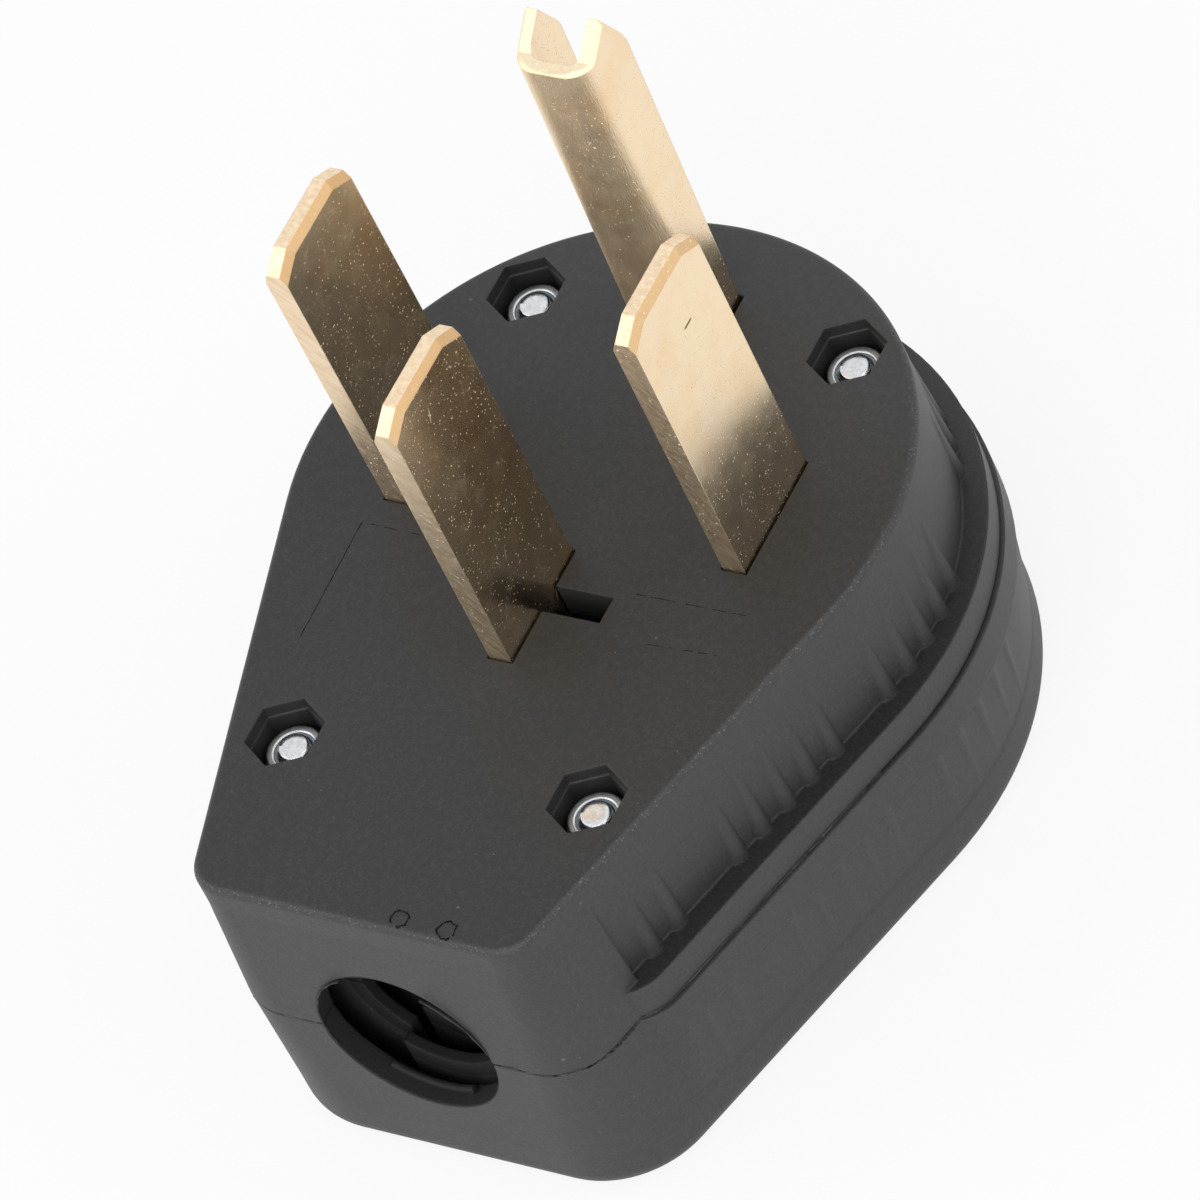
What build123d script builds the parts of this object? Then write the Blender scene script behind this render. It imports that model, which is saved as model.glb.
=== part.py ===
from build123d import *
import math
import os

# Right-angle power plug with three flat blades and a folded ground pin.
# Millimetres. The plug lies on its flat back: z = 0 is the back, +Z is the way the blades point,
# -Y is the cable entry, and the z axis is the axis of the round end.

# Housing heights
BODY_HEIGHT = 36.0
PARTING_Z = 18.3
PARTING_GAP = 0.3
LEDGE_Z = 22.0
FACE_THICKNESS = 4.0
BACK_THICKNESS = 3.2
FACE_EDGE_ROUND = 0.8
BACK_EDGE_ROUND = 2.4

# Housing outline: a round top, sides that lean in towards the cable end, a straight end
FACE_RADIUS = 30.4
FACE_SIDE_ANGLE = 16.0
FACE_END = 50.2
FACE_CORNER = 4.0
COLLAR_RADIUS = 30.8
COLLAR_SIDE_ANGLE = 14.6
COLLAR_END = 51.1
COLLAR_CORNER = 6.4
COLLAR_START = 41.5
BACK_RADIUS = 32.55
BACK_CENTRE_Y = -1.0
BACK_SIDE_ANGLE = 16.1
BACK_END = 51.4
BACK_CORNER = 10.5
RIM_RADIUS = 33.3
RIM_END = 43.8
RIM_CORNER = 5.0
RIM_BAND_HEIGHT = 4.0
RIM_BAND_PROUD = 0.3
FLANGE_INSET = 0.4
BACK_TAPER_Z = 5.0
WAIST_INSET = 0.1
WAIST_END = 45.0
OUTLINE_OVERLAP = 0.15

# Housing walls
SIDE_WALL = 2.8
RIM_WALL = 4.0
END_WALL = 2.3
INNER_CORNER = 2.0
TONGUE_THICKNESS = 1.2
TONGUE_HEIGHT = 1.2
TONGUE_CLEARANCE = 0.15
TONGUE_INSET = 1.4
TONGUE_STOP = 38.0

# Cable entry
CABLE_HOLE_RADIUS = 9.1
CABLE_GRIP_RADIUS = 7.5
GRIP_RIB_THICKNESS = 1.2
GRIP_RIB_FIRST = 1.2
GRIP_RIB_PITCH = 3.8
GRIP_RIB_STAGGER = 1.6
GRIP_RIB_COUNT = 3
GRIP_SPLIT_X = -4.6

# Assembly screws and lock nuts
TOP_POST_X = 17.2
TOP_POST_Y = 18.9
LOW_POST_X = 16.05
LOW_POST_Y = -32.7
POST_RADIUS = 4.75
SCREW_RADIUS = 1.7
SCREW_HOLE_CLEARANCE = 0.25
SCREW_HEAD_RADIUS = 3.1
SCREW_HEAD_HEIGHT = 2.3
SCREW_HEAD_ROUND = 0.8
SCREW_SEAT_Z = 3.4
SCREW_TIP_DEPTH = 2.1
SCREW_TIP_BEVEL = 0.3
DRIVE_SLOT_WIDTH = 1.1
DRIVE_SLOT_DEPTH = 1.1
HEAD_POCKET_CLEARANCE = 0.35
NUT_ACROSS_FLATS = 6.1
NUT_HEIGHT = 2.4
NUT_COLLAR_RADIUS = 2.75
NUT_COLLAR_HEIGHT = 1.3
NUT_COLLAR_WALL = 0.35
INSERT_HEIGHT = 1.1
INSERT_CLEARANCE = 0.05
NUT_POCKET_CLEARANCE = 0.3
NUT_POCKET_MOUTH_STEP = 0.3
NUT_POCKET_MOUTH_DEPTH = 1.3
NUT_POCKET_DEPTH = 6.3
THREAD_CLEARANCE = 0.05

# Blades
BLADE_WIDTH = 12.7
BLADE_THICKNESS = 2.36
BLADE_LENGTH = 33.7
BLADE_CORNER_WIDTH = 2.4
BLADE_CORNER_HEIGHT = 1.35
TIP_BEVEL_WIDTH = 0.5
TIP_BEVEL_HEIGHT = 0.9
LEFT_BLADE_LEAN = 0.5
HOT_SPACING = 36.06
NEUTRAL_X = 0.6
NEUTRAL_Y = -14.15
BLADE_SLOT_CLEARANCE = 0.2
SPARE_SLOT_LENGTH = 6.3
SPARE_SLOT_WIDTH = 2.9
SPARE_SLOT_SHIFT = 0.95

# Ground pin
PIN_WIDTH = 8.2
PIN_DEPTH = 7.0
PIN_SHEET = 1.45
PIN_BACK_Y = 15.4
PIN_LENGTH = 40.0
PIN_BACK_DROP = 2.4
PIN_RIM_DEPTH = 1.8
PIN_VALLEY_HALF = 2.4
PIN_VALLEY_DEPTH = 0.25
PIN_END_DROP = 3.8
PIN_PEAK_DEPTH = 5.0
PIN_TIP_BEVEL = 0.35
PIN_LEAN = 2.4
PIN_BEND_RADIUS = 2.6
PIN_SLOT_CLEARANCE = 0.35

# Terminals
FOOT_WIDTH = 10.0
FOOT_LENGTH = 12.0
FOOT_OUTER_BEND = 2.6
FOOT_CORNER = 1.0
GROUND_FOOT_WIDTH = 9.0
GROUND_FOOT_LENGTH = 11.2
FOOT_GAP = 0.1
CLAMP_WIDTH = 7.6
CLAMP_LENGTH = 8.0
CLAMP_THICKNESS = 1.6
CLAMP_CORNER = 1.0
CLAMP_GROOVE_RADIUS = 1.2
CLAMP_GROOVE_DEPTH = 0.5
CLAMP_GROOVE_SPACING = 5.6
TERMINAL_SCREW_RADIUS = 2.4
TERMINAL_HOLE_CLEARANCE = 0.25
TERMINAL_HEAD_RADIUS = 3.7
TERMINAL_HEAD_HEIGHT = 2.8
TERMINAL_HEAD_BEVEL = 0.5
TERMINAL_TIP_BEVEL = 0.4
TERMINAL_SLOT_WIDTH = 1.3
TERMINAL_SLOT_DEPTH = 1.4
TERMINAL_NUT_SIZE = 7.6
TERMINAL_NUT_HEIGHT = 2.2
TERMINAL_NUT_CLEARANCE = 0.2
HOT_TERMINAL_X = 11.4
NEUTRAL_TERMINAL_X = -6.6
GROUND_TERMINAL_Y = 9.9

# Blade retainer
RETAINER_MARGIN = 1.6
RETAINER_THICKNESS = 2.2
RETAINER_STEM_WIDTH = 15.0
RETAINER_STEM_END = 28.5
RETAINER_CORNER = 2.0
RETAINER_WINDOW_CLEARANCE = 0.4
RETAINER_POST_CLEARANCE = 0.5
BARRIER_THICKNESS = 1.3
BARRIER_HEIGHT = 6.0
BARRIER_Y = -7.2
BARRIER_LENGTH = 34.0
BARRIER_SPACING = 11.4
BARRIER_TOP = 20.0
BOSS_RADIUS = 2.3
TOP_BOSS_X = 9.8
TOP_BOSS_Y = 15.6
LOW_BOSS_Y = -25.0
SMALL_SCREW_RADIUS = 1.1
SMALL_SCREW_HEAD_RADIUS = 2.1
SMALL_SCREW_HEAD_HEIGHT = 1.4
SMALL_SCREW_HEAD_BEVEL = 0.4
SMALL_SCREW_TIP_BEVEL = 0.3
SMALL_SCREW_REACH = 3.6
SMALL_HOLE_CLEARANCE = 0.2
SMALL_SLOT_WIDTH = 0.7
SMALL_SLOT_DEPTH = 0.7
PILOT_EXTRA = 0.3

# Grip ribs on the sides
RIB_RADIUS = 1.1
RIB_PROUD = 0.7
RIB_FADE = 9.5
RIB_PITCH = 3.2
RIB_LOW_Y = -38.0
RIB_LOW_COUNT = 2
RIB_MID_Y = -26.8
RIB_MID_COUNT = 5
RIB_SIDE_ANGLE = -13.4
RIB_SIDE_COUNT = 5
RIB_UPPER_ANGLE = 35.0
RIB_UPPER_COUNT = 4
REAR_RIB_RADIUS = 1.6
REAR_RIB_INSET = 0.1
REAR_RIB_OVERLAP = 0.5

# Levels and places that follow from the values above
FACE_Z = BODY_HEIGHT
INNER_FACE_Z = FACE_Z - FACE_THICKNESS
FRONT_BASE_Z = PARTING_Z + PARTING_GAP / 2
REAR_TOP_Z = PARTING_Z - PARTING_GAP / 2
FLANGE_RADIUS = RIM_RADIUS - FLANGE_INSET
BAND_BASE_Z = REAR_TOP_Z - RIM_BAND_HEIGHT
WAIST_RADIUS = BACK_RADIUS - WAIST_INSET
CAVITY_END = COLLAR_END - END_WALL
FOOT_TOP_Z = INNER_FACE_Z - FOOT_GAP
FOOT_BASE_Z = FOOT_TOP_Z - BLADE_THICKNESS
GROUND_FOOT_BASE_Z = FOOT_TOP_Z - PIN_SHEET
RETAINER_TOP_Z = FOOT_BASE_Z - FOOT_GAP
RETAINER_BASE_Z = RETAINER_TOP_Z - RETAINER_THICKNESS
NUT_SEAT_Z = FACE_Z - NUT_POCKET_DEPTH
SCREW_TIP_Z = FACE_Z - SCREW_TIP_DEPTH
SCREW_HOLE_RADIUS = SCREW_RADIUS + SCREW_HOLE_CLEARANCE
BLADE_TIP_Z = FACE_Z + BLADE_LENGTH
BLADE_WAY = BLADE_THICKNESS + 2 * BLADE_SLOT_CLEARANCE
HOT_X = HOT_SPACING / 2
POSTS = ((-TOP_POST_X, TOP_POST_Y), (TOP_POST_X, TOP_POST_Y),
         (-LOW_POST_X, LOW_POST_Y), (LOW_POST_X, LOW_POST_Y))
BOSSES = ((-TOP_BOSS_X, TOP_BOSS_Y), (TOP_BOSS_X, TOP_BOSS_Y), (0, LOW_BOSS_Y))
LEFT_HOT_TERMINAL = (-HOT_TERMINAL_X, 0)
RIGHT_HOT_TERMINAL = (HOT_TERMINAL_X, 0)
NEUTRAL_TERMINAL = (NEUTRAL_TERMINAL_X, NEUTRAL_Y)
GROUND_TERMINAL = (0, GROUND_TERMINAL_Y)
TERMINALS = (LEFT_HOT_TERMINAL, RIGHT_HOT_TERMINAL, NEUTRAL_TERMINAL, GROUND_TERMINAL)

os.makedirs("parts", exist_ok=True)


def save(piece, name):
    """Label the piece and write its file."""
    piece.part.label = name
    export_step(piece.part, f"parts/{name}.step")


def keystone(z, radius, side_angle, end, corner, centre_y=0.0):
    """Outline at height z: a circle about (0, centre_y), two straight tangents and a straight end."""
    lean = math.radians(side_angle)
    touch_x = radius * math.cos(lean)
    touch_y = centre_y - radius * math.sin(lean)
    half_end = (radius - (end + centre_y) * math.sin(lean)) / math.cos(lean)
    with BuildSketch(Plane.XY.offset(z)) as outline:
        with BuildLine():
            CenterArc((0, centre_y), radius, -side_angle, 180 + 2 * side_angle)
            Polyline((-touch_x, touch_y), (-half_end, -end), (half_end, -end), (touch_x, touch_y))
        make_face()
        fillet(outline.vertices().group_by(Axis.Y)[0], corner)
    return outline.sketch


def circles(z, radius, places):
    """Equal circles at height z."""
    with BuildSketch(Plane.XY.offset(z)) as sketch:
        with Locations(*places):
            Circle(radius)
    return sketch.sketch


def hexagons(z, across_flats, places):
    """Equal hexagons at height z, with their corners towards the round end and the cable end."""
    with BuildSketch(Plane.XY.offset(z)) as sketch:
        with Locations(*places):
            RegularPolygon(across_flats / 2, 6, major_radius=False, rotation=90)
    return sketch.sketch


def rectangles(z, width, depth, places):
    """Equal rectangles at height z."""
    with BuildSketch(Plane.XY.offset(z)) as sketch:
        with Locations(*places):
            Rectangle(width, depth)
    return sketch.sketch


def cable_circle(radius):
    """Circle about the cable axis, on the plane of the cable mouth."""
    mouth = Plane((0, -BACK_END, PARTING_Z), x_dir=(1, 0, 0), z_dir=(0, 1, 0))
    with BuildSketch(mouth) as sketch:
        Circle(radius)
    return sketch.sketch


def tongue_ring(z, clearance):
    """Ring that locates the two shells, open towards the cable end."""
    outer = RIM_RADIUS - TONGUE_INSET + clearance
    inner = RIM_RADIUS - TONGUE_INSET - TONGUE_THICKNESS - clearance
    stop = TONGUE_STOP + clearance
    with BuildSketch(Plane.XY.offset(z)) as sketch:
        add(keystone(z, outer, FACE_SIDE_ANGLE, RIM_END, RIM_CORNER))
        add(keystone(z, inner, FACE_SIDE_ANGLE, RIM_END, RIM_CORNER), mode=Mode.SUBTRACT)
        with Locations((0, -stop - RIM_RADIUS)):
            Rectangle(4 * RIM_RADIUS, 2 * RIM_RADIUS, mode=Mode.SUBTRACT)
    return sketch.sketch


def row(first, count):
    """Places of a row of grip ribs along a straight side."""
    return [first + i * RIB_PITCH for i in range(count)]


def rib_places(radius):
    """Places and outward angles of the grip ribs on the right side."""
    lean = math.radians(FACE_SIDE_ANGLE)
    turn = math.degrees(RIB_PITCH / FACE_RADIUS)
    places = []
    for y in row(RIB_LOW_Y, RIB_LOW_COUNT) + row(RIB_MID_Y, RIB_MID_COUNT):
        places.append(((radius + y * math.sin(lean)) / math.cos(lean), y, -lean))
    for first, count in ((RIB_SIDE_ANGLE, RIB_SIDE_COUNT), (RIB_UPPER_ANGLE, RIB_UPPER_COUNT)):
        for i in range(count):
            angle = math.radians(first + i * turn)
            places.append((radius * math.cos(angle), radius * math.sin(angle), angle))
    return places


def side_ribs(base_z, base_radius, fade_z, fade_radius, rib_radius, fade_centre_y=0.0):
    """Leaning half-round ribs on both sides, proud at base_z and lost in the wall at fade_z."""
    height = fade_z - base_z
    with BuildPart() as ribs:
        for x, y, angle in rib_places(base_radius - rib_radius):
            inward = base_radius - fade_radius - fade_centre_y * math.sin(angle)
            for side in (1, -1):
                lean = Vector(-side * math.cos(angle) * inward, -math.sin(angle) * inward, height)
                with BuildSketch(Plane((side * x, y, base_z), z_dir=lean)):
                    Circle(rib_radius)
                extrude(amount=lean.length)
    return ribs.part


def grip_walls(base_z, height):
    """Two staggered rows of walls across the cable way, before the way is cut through them."""
    with BuildPart() as walls:
        for i in range(GRIP_RIB_COUNT):
            y = GRIP_RIB_FIRST - CAVITY_END + i * GRIP_RIB_PITCH
            with BuildSketch(Plane.XY.offset(base_z)):
                with Locations((GRIP_SPLIT_X, y)):
                    Rectangle(COLLAR_RADIUS, GRIP_RIB_THICKNESS, align=Align.MIN)
                with Locations((GRIP_SPLIT_X, y + GRIP_RIB_STAGGER)):
                    Rectangle(COLLAR_RADIUS, GRIP_RIB_THICKNESS, align=(Align.MAX, Align.MIN))
            extrude(amount=height)
    return walls.part


def slotted_screw(place, seat_z, tip_z, radius, tip_bevel, head_radius, head_height, head_bevel, slot_width,
                  slot_depth):
    """Turned screw that points up, with its slotted head below seat_z."""
    x, y = place
    head_z = seat_z - head_height
    with BuildPart() as screw:
        with BuildSketch(Plane.XZ.offset(-y)):
            with BuildLine():
                Polyline((x, head_z), (x + head_radius - head_bevel, head_z),
                         (x + head_radius, head_z + head_bevel), (x + head_radius, seat_z),
                         (x + radius, seat_z), (x + radius, tip_z - tip_bevel),
                         (x + radius - tip_bevel, tip_z), (x, tip_z), close=True)
            make_face()
        revolve(axis=Axis((x, y, 0), (0, 0, 1)))
        extrude(rectangles(head_z, 2 * head_radius, slot_width, (place,)), amount=slot_depth,
                mode=Mode.SUBTRACT)
    return screw.part


def flat_blade(x, y, toward, terminal, lean=0.0):
    """Flat blade, its foot bent under the face plate; toward is the side of the foot, 1 or -1, and lean
    is how far the tip stands off along x."""
    outer_x = x - toward * BLADE_THICKNESS / 2
    inner_x = x + toward * BLADE_THICKNESS / 2
    foot_x = outer_x + toward * FOOT_LENGTH
    with BuildPart() as blade:
        with BuildSketch(Plane.XZ.offset(-y)):
            with BuildLine():
                Polyline((outer_x + lean, BLADE_TIP_Z), (outer_x, FACE_Z), (outer_x, FOOT_BASE_Z),
                         (foot_x, FOOT_BASE_Z), (foot_x, FOOT_TOP_Z), (inner_x, FOOT_TOP_Z),
                         (inner_x, FACE_Z), (inner_x + lean, BLADE_TIP_Z), close=True)
            make_face()
        extrude(amount=BLADE_WIDTH / 2, both=True)
        fillet(blade.edges().filter_by(Axis.Y).sort_by_distance((outer_x, y, FOOT_BASE_Z))[0],
               FOOT_OUTER_BEND)
        fillet(blade.edges().filter_by(Axis.Y).sort_by_distance((inner_x, y, FOOT_TOP_Z))[0],
               FOOT_OUTER_BEND - BLADE_THICKNESS)
        side_cut = (BLADE_WIDTH - FOOT_WIDTH) / 2
        cut_length = FOOT_LENGTH - FOOT_OUTER_BEND
        extrude(rectangles(FOOT_BASE_Z, cut_length, side_cut,
                           ((foot_x - toward * cut_length / 2, y + (FOOT_WIDTH + side_cut) / 2),
                            (foot_x - toward * cut_length / 2, y - (FOOT_WIDTH + side_cut) / 2))),
                amount=BLADE_THICKNESS, mode=Mode.SUBTRACT)
        upright = blade.edges().filter_by(Axis.Z)
        fillet(upright.filter_by(lambda edge: abs(edge.center().X - foot_x) < FOOT_CORNER), FOOT_CORNER)
        extrude(circles(FOOT_BASE_Z, TERMINAL_SCREW_RADIUS + TERMINAL_HOLE_CLEARANCE, (terminal,)),
                amount=BLADE_THICKNESS, mode=Mode.SUBTRACT)
        for narrow in blade.faces().filter_by(Axis.Y).group_by(Axis.Z)[-1]:
            corner = narrow.edges().filter_by(Axis.X).sort_by(Axis.Z)[-1]
            chamfer(corner, BLADE_CORNER_HEIGHT, BLADE_CORNER_WIDTH, reference=narrow)
        for side in blade.faces().sort_by(SortBy.AREA)[-2:]:
            rim = side.edges().filter_by(lambda edge: edge.center().Z > BLADE_TIP_Z - BLADE_CORNER_HEIGHT)
            chamfer(rim, TIP_BEVEL_HEIGHT, TIP_BEVEL_WIDTH, reference=side)
    return blade


def clamp_plate(terminal, foot_base_z):
    """Square washer that presses the wire on a foot, with two grooves on its upper side."""
    x, y = terminal
    groove_z = foot_base_z + CLAMP_GROOVE_RADIUS - CLAMP_GROOVE_DEPTH
    groove_half = CLAMP_GROOVE_SPACING / 2
    with BuildPart() as clamp:
        with BuildSketch(Plane.XY.offset(foot_base_z - CLAMP_THICKNESS)):
            with Locations(terminal):
                RectangleRounded(CLAMP_WIDTH, CLAMP_LENGTH, CLAMP_CORNER)
                Circle(TERMINAL_SCREW_RADIUS + TERMINAL_HOLE_CLEARANCE, mode=Mode.SUBTRACT)
        extrude(amount=CLAMP_THICKNESS)
        with BuildSketch(Plane.XZ.offset(-y)):
            with Locations((x - groove_half, groove_z), (x + groove_half, groove_z)):
                Circle(CLAMP_GROOVE_RADIUS)
        extrude(amount=CLAMP_LENGTH / 2, both=True, mode=Mode.SUBTRACT)
    return clamp


def terminal_screw(terminal, foot_base_z):
    """Screw that draws a clamp plate against a foot and runs into its square nut."""
    with BuildPart() as screw:
        add(slotted_screw(terminal, foot_base_z - CLAMP_THICKNESS, INNER_FACE_Z + TERMINAL_NUT_HEIGHT,
                          TERMINAL_SCREW_RADIUS, TERMINAL_TIP_BEVEL, TERMINAL_HEAD_RADIUS,
                          TERMINAL_HEAD_HEIGHT, TERMINAL_HEAD_BEVEL, TERMINAL_SLOT_WIDTH,
                          TERMINAL_SLOT_DEPTH))
    return screw


# Face shell: the outer form
with BuildPart() as face_core:
    extrude(keystone(FRONT_BASE_Z, FACE_RADIUS, FACE_SIDE_ANGLE, FACE_END, FACE_CORNER),
            amount=FACE_Z - FRONT_BASE_Z)
    fillet(face_core.faces().sort_by(Axis.Z)[-1].edges(), FACE_EDGE_ROUND)

with BuildPart() as face_collar:
    loft([keystone(FRONT_BASE_Z, COLLAR_RADIUS, COLLAR_SIDE_ANGLE, COLLAR_END, COLLAR_CORNER),
          keystone(FACE_Z - FACE_EDGE_ROUND, FACE_RADIUS - OUTLINE_OVERLAP, FACE_SIDE_ANGLE,
                   FACE_END - OUTLINE_OVERLAP, FACE_CORNER)])
    split(bisect_by=Plane.XZ.offset(COLLAR_START), keep=Keep.TOP)

# Face shell: walls, posts and pockets
with BuildPart() as front_cavity:
    extrude(keystone(FRONT_BASE_Z, FACE_RADIUS - SIDE_WALL, FACE_SIDE_ANGLE, CAVITY_END, INNER_CORNER),
            amount=INNER_FACE_Z - FRONT_BASE_Z)

with BuildPart() as front_grips:
    add(grip_walls(FRONT_BASE_Z, INNER_FACE_Z - FRONT_BASE_Z))
    add(front_cavity.part, mode=Mode.INTERSECT)

with BuildPart() as face_shell:
    add(face_core.part)
    add(face_collar.part)
    extrude(keystone(FRONT_BASE_Z, FLANGE_RADIUS, FACE_SIDE_ANGLE, RIM_END, RIM_CORNER),
            amount=LEDGE_Z - FRONT_BASE_Z)
    add(side_ribs(LEDGE_Z, FACE_RADIUS + RIB_PROUD, LEDGE_Z + RIB_FADE, FACE_RADIUS, RIB_RADIUS))
    add(front_cavity.part, mode=Mode.SUBTRACT)
    extrude(circles(FRONT_BASE_Z, POST_RADIUS, POSTS), amount=INNER_FACE_Z - FRONT_BASE_Z)
    extrude(circles(RETAINER_TOP_Z + FOOT_GAP, BOSS_RADIUS, BOSSES), amount=BLADE_THICKNESS + FOOT_GAP)
    add(front_grips.part)
    extrude(tongue_ring(FRONT_BASE_Z, 0), amount=-TONGUE_HEIGHT - PARTING_GAP)
    extrude(cable_circle(CABLE_GRIP_RADIUS), amount=BACK_END + LOW_POST_Y, mode=Mode.SUBTRACT)
    extrude(cable_circle(CABLE_HOLE_RADIUS), amount=BACK_END - CAVITY_END, mode=Mode.SUBTRACT)
    extrude(circles(FRONT_BASE_Z, SCREW_HOLE_RADIUS, POSTS), amount=NUT_SEAT_Z - FRONT_BASE_Z,
            mode=Mode.SUBTRACT)
    extrude(hexagons(NUT_SEAT_Z, NUT_ACROSS_FLATS + NUT_POCKET_CLEARANCE, POSTS),
            amount=NUT_POCKET_DEPTH, mode=Mode.SUBTRACT)
    extrude(hexagons(FACE_Z, NUT_ACROSS_FLATS + NUT_POCKET_CLEARANCE + NUT_POCKET_MOUTH_STEP, POSTS),
            amount=-NUT_POCKET_MOUTH_DEPTH, mode=Mode.SUBTRACT)
    extrude(rectangles(INNER_FACE_Z, BLADE_WAY, BLADE_WIDTH + 2 * BLADE_SLOT_CLEARANCE,
                       ((-HOT_X, 0), (HOT_X, 0), (NEUTRAL_X, NEUTRAL_Y))),
            amount=FACE_THICKNESS, mode=Mode.SUBTRACT)
    with BuildSketch(Plane.XY.offset(INNER_FACE_Z)):
        with Locations((NEUTRAL_X, NEUTRAL_Y + SPARE_SLOT_SHIFT)):
            Rectangle(BLADE_THICKNESS / 2 + SPARE_SLOT_LENGTH, SPARE_SLOT_WIDTH,
                      align=(Align.MIN, Align.CENTER))
    extrude(amount=FACE_THICKNESS, mode=Mode.SUBTRACT)
    with BuildSketch(Plane.XY.offset(INNER_FACE_Z)):
        with Locations((0, PIN_BACK_Y + PIN_DEPTH / 2)):
            Rectangle(PIN_WIDTH + 2 * PIN_SLOT_CLEARANCE, PIN_DEPTH + 2 * PIN_SLOT_CLEARANCE)
    extrude(amount=FACE_THICKNESS, mode=Mode.SUBTRACT)
    extrude(rectangles(INNER_FACE_Z, TERMINAL_NUT_SIZE + 2 * TERMINAL_NUT_CLEARANCE,
                       TERMINAL_NUT_SIZE + 2 * TERMINAL_NUT_CLEARANCE, TERMINALS),
            amount=TERMINAL_NUT_HEIGHT + TERMINAL_NUT_CLEARANCE, mode=Mode.SUBTRACT)
    extrude(circles(RETAINER_TOP_Z, SMALL_SCREW_RADIUS + THREAD_CLEARANCE, BOSSES),
            amount=SMALL_SCREW_REACH + PILOT_EXTRA, mode=Mode.SUBTRACT)

save(face_shell, "face_shell")

# Rear shell: the outer form
with BuildPart() as rear_core:
    extrude(keystone(BACK_TAPER_Z, BACK_RADIUS, BACK_SIDE_ANGLE, BACK_END, BACK_CORNER, BACK_CENTRE_Y),
            amount=-BACK_TAPER_Z)
    fillet(rear_core.faces().sort_by(Axis.Z)[0].edges(), BACK_EDGE_ROUND)

with BuildPart() as rear_collar:
    loft([keystone(BACK_TAPER_Z, BACK_RADIUS, BACK_SIDE_ANGLE, BACK_END, BACK_CORNER, BACK_CENTRE_Y),
          keystone(REAR_TOP_Z, COLLAR_RADIUS, COLLAR_SIDE_ANGLE, COLLAR_END, COLLAR_CORNER)])

with BuildPart() as rear_rim:
    loft([keystone(BACK_TAPER_Z, WAIST_RADIUS, BACK_SIDE_ANGLE, WAIST_END, RIM_CORNER, BACK_CENTRE_Y),
          keystone(BAND_BASE_Z, RIM_RADIUS - RIM_BAND_PROUD, FACE_SIDE_ANGLE, RIM_END, RIM_CORNER)])
    extrude(keystone(BAND_BASE_Z, RIM_RADIUS, FACE_SIDE_ANGLE, RIM_END, RIM_CORNER), amount=RIM_BAND_HEIGHT)

# Rear shell: walls, posts and counterbores
with BuildPart() as rear_cavity:
    extrude(keystone(BACK_THICKNESS, RIM_RADIUS - RIM_WALL, FACE_SIDE_ANGLE, CAVITY_END, INNER_CORNER),
            amount=REAR_TOP_Z - BACK_THICKNESS)

with BuildPart() as rear_grips:
    add(grip_walls(BACK_THICKNESS, REAR_TOP_Z - BACK_THICKNESS))
    add(rear_cavity.part, mode=Mode.INTERSECT)

with BuildPart() as rear_shell:
    add(rear_core.part)
    add(rear_collar.part)
    add(rear_rim.part)
    add(side_ribs(BAND_BASE_Z + REAR_RIB_OVERLAP, RIM_RADIUS - REAR_RIB_INSET, BACK_TAPER_Z, WAIST_RADIUS,
                  REAR_RIB_RADIUS, BACK_CENTRE_Y))
    add(rear_cavity.part, mode=Mode.SUBTRACT)
    extrude(circles(BACK_THICKNESS, POST_RADIUS, POSTS), amount=REAR_TOP_Z - BACK_THICKNESS)
    add(rear_grips.part)
    extrude(tongue_ring(REAR_TOP_Z, TONGUE_CLEARANCE), amount=-TONGUE_HEIGHT - TONGUE_CLEARANCE,
            mode=Mode.SUBTRACT)
    extrude(cable_circle(CABLE_GRIP_RADIUS), amount=BACK_END + LOW_POST_Y, mode=Mode.SUBTRACT)
    extrude(cable_circle(CABLE_HOLE_RADIUS), amount=BACK_END - CAVITY_END, mode=Mode.SUBTRACT)
    with Locations(Plane.XY.rotated((180, 0, 0))):
        with Locations(*[(x, -y) for x, y in POSTS]):
            CounterBoreHole(SCREW_HOLE_RADIUS, SCREW_HEAD_RADIUS + HEAD_POCKET_CLEARANCE, SCREW_SEAT_Z)

save(rear_shell, "rear_shell")

# Blades
left_hot_blade = flat_blade(-HOT_X, 0, 1, LEFT_HOT_TERMINAL, lean=-LEFT_BLADE_LEAN)
right_hot_blade = flat_blade(HOT_X, 0, -1, RIGHT_HOT_TERMINAL)
neutral_blade = flat_blade(NEUTRAL_X, NEUTRAL_Y, -1, NEUTRAL_TERMINAL)
save(left_hot_blade, "left_hot_blade")
save(right_hot_blade, "right_hot_blade")
save(neutral_blade, "neutral_blade")

# Ground pin: a strip folded to a U that leans a little, with pointed legs and a foot
LEAN = math.radians(PIN_LEAN)
PIN_UP = Vector(0, math.sin(LEAN), math.cos(LEAN))
PIN_OUT = Vector(0, math.cos(LEAN), -math.sin(LEAN))
PIN_START = (0, PIN_BACK_Y, FACE_Z)
PIN_BELOW = FACE_Z - GROUND_FOOT_BASE_Z - PIN_SHEET / 2
PIN_RIM = PIN_LENGTH - PIN_BACK_DROP
TIP_SLOPE = 0.1

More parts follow.
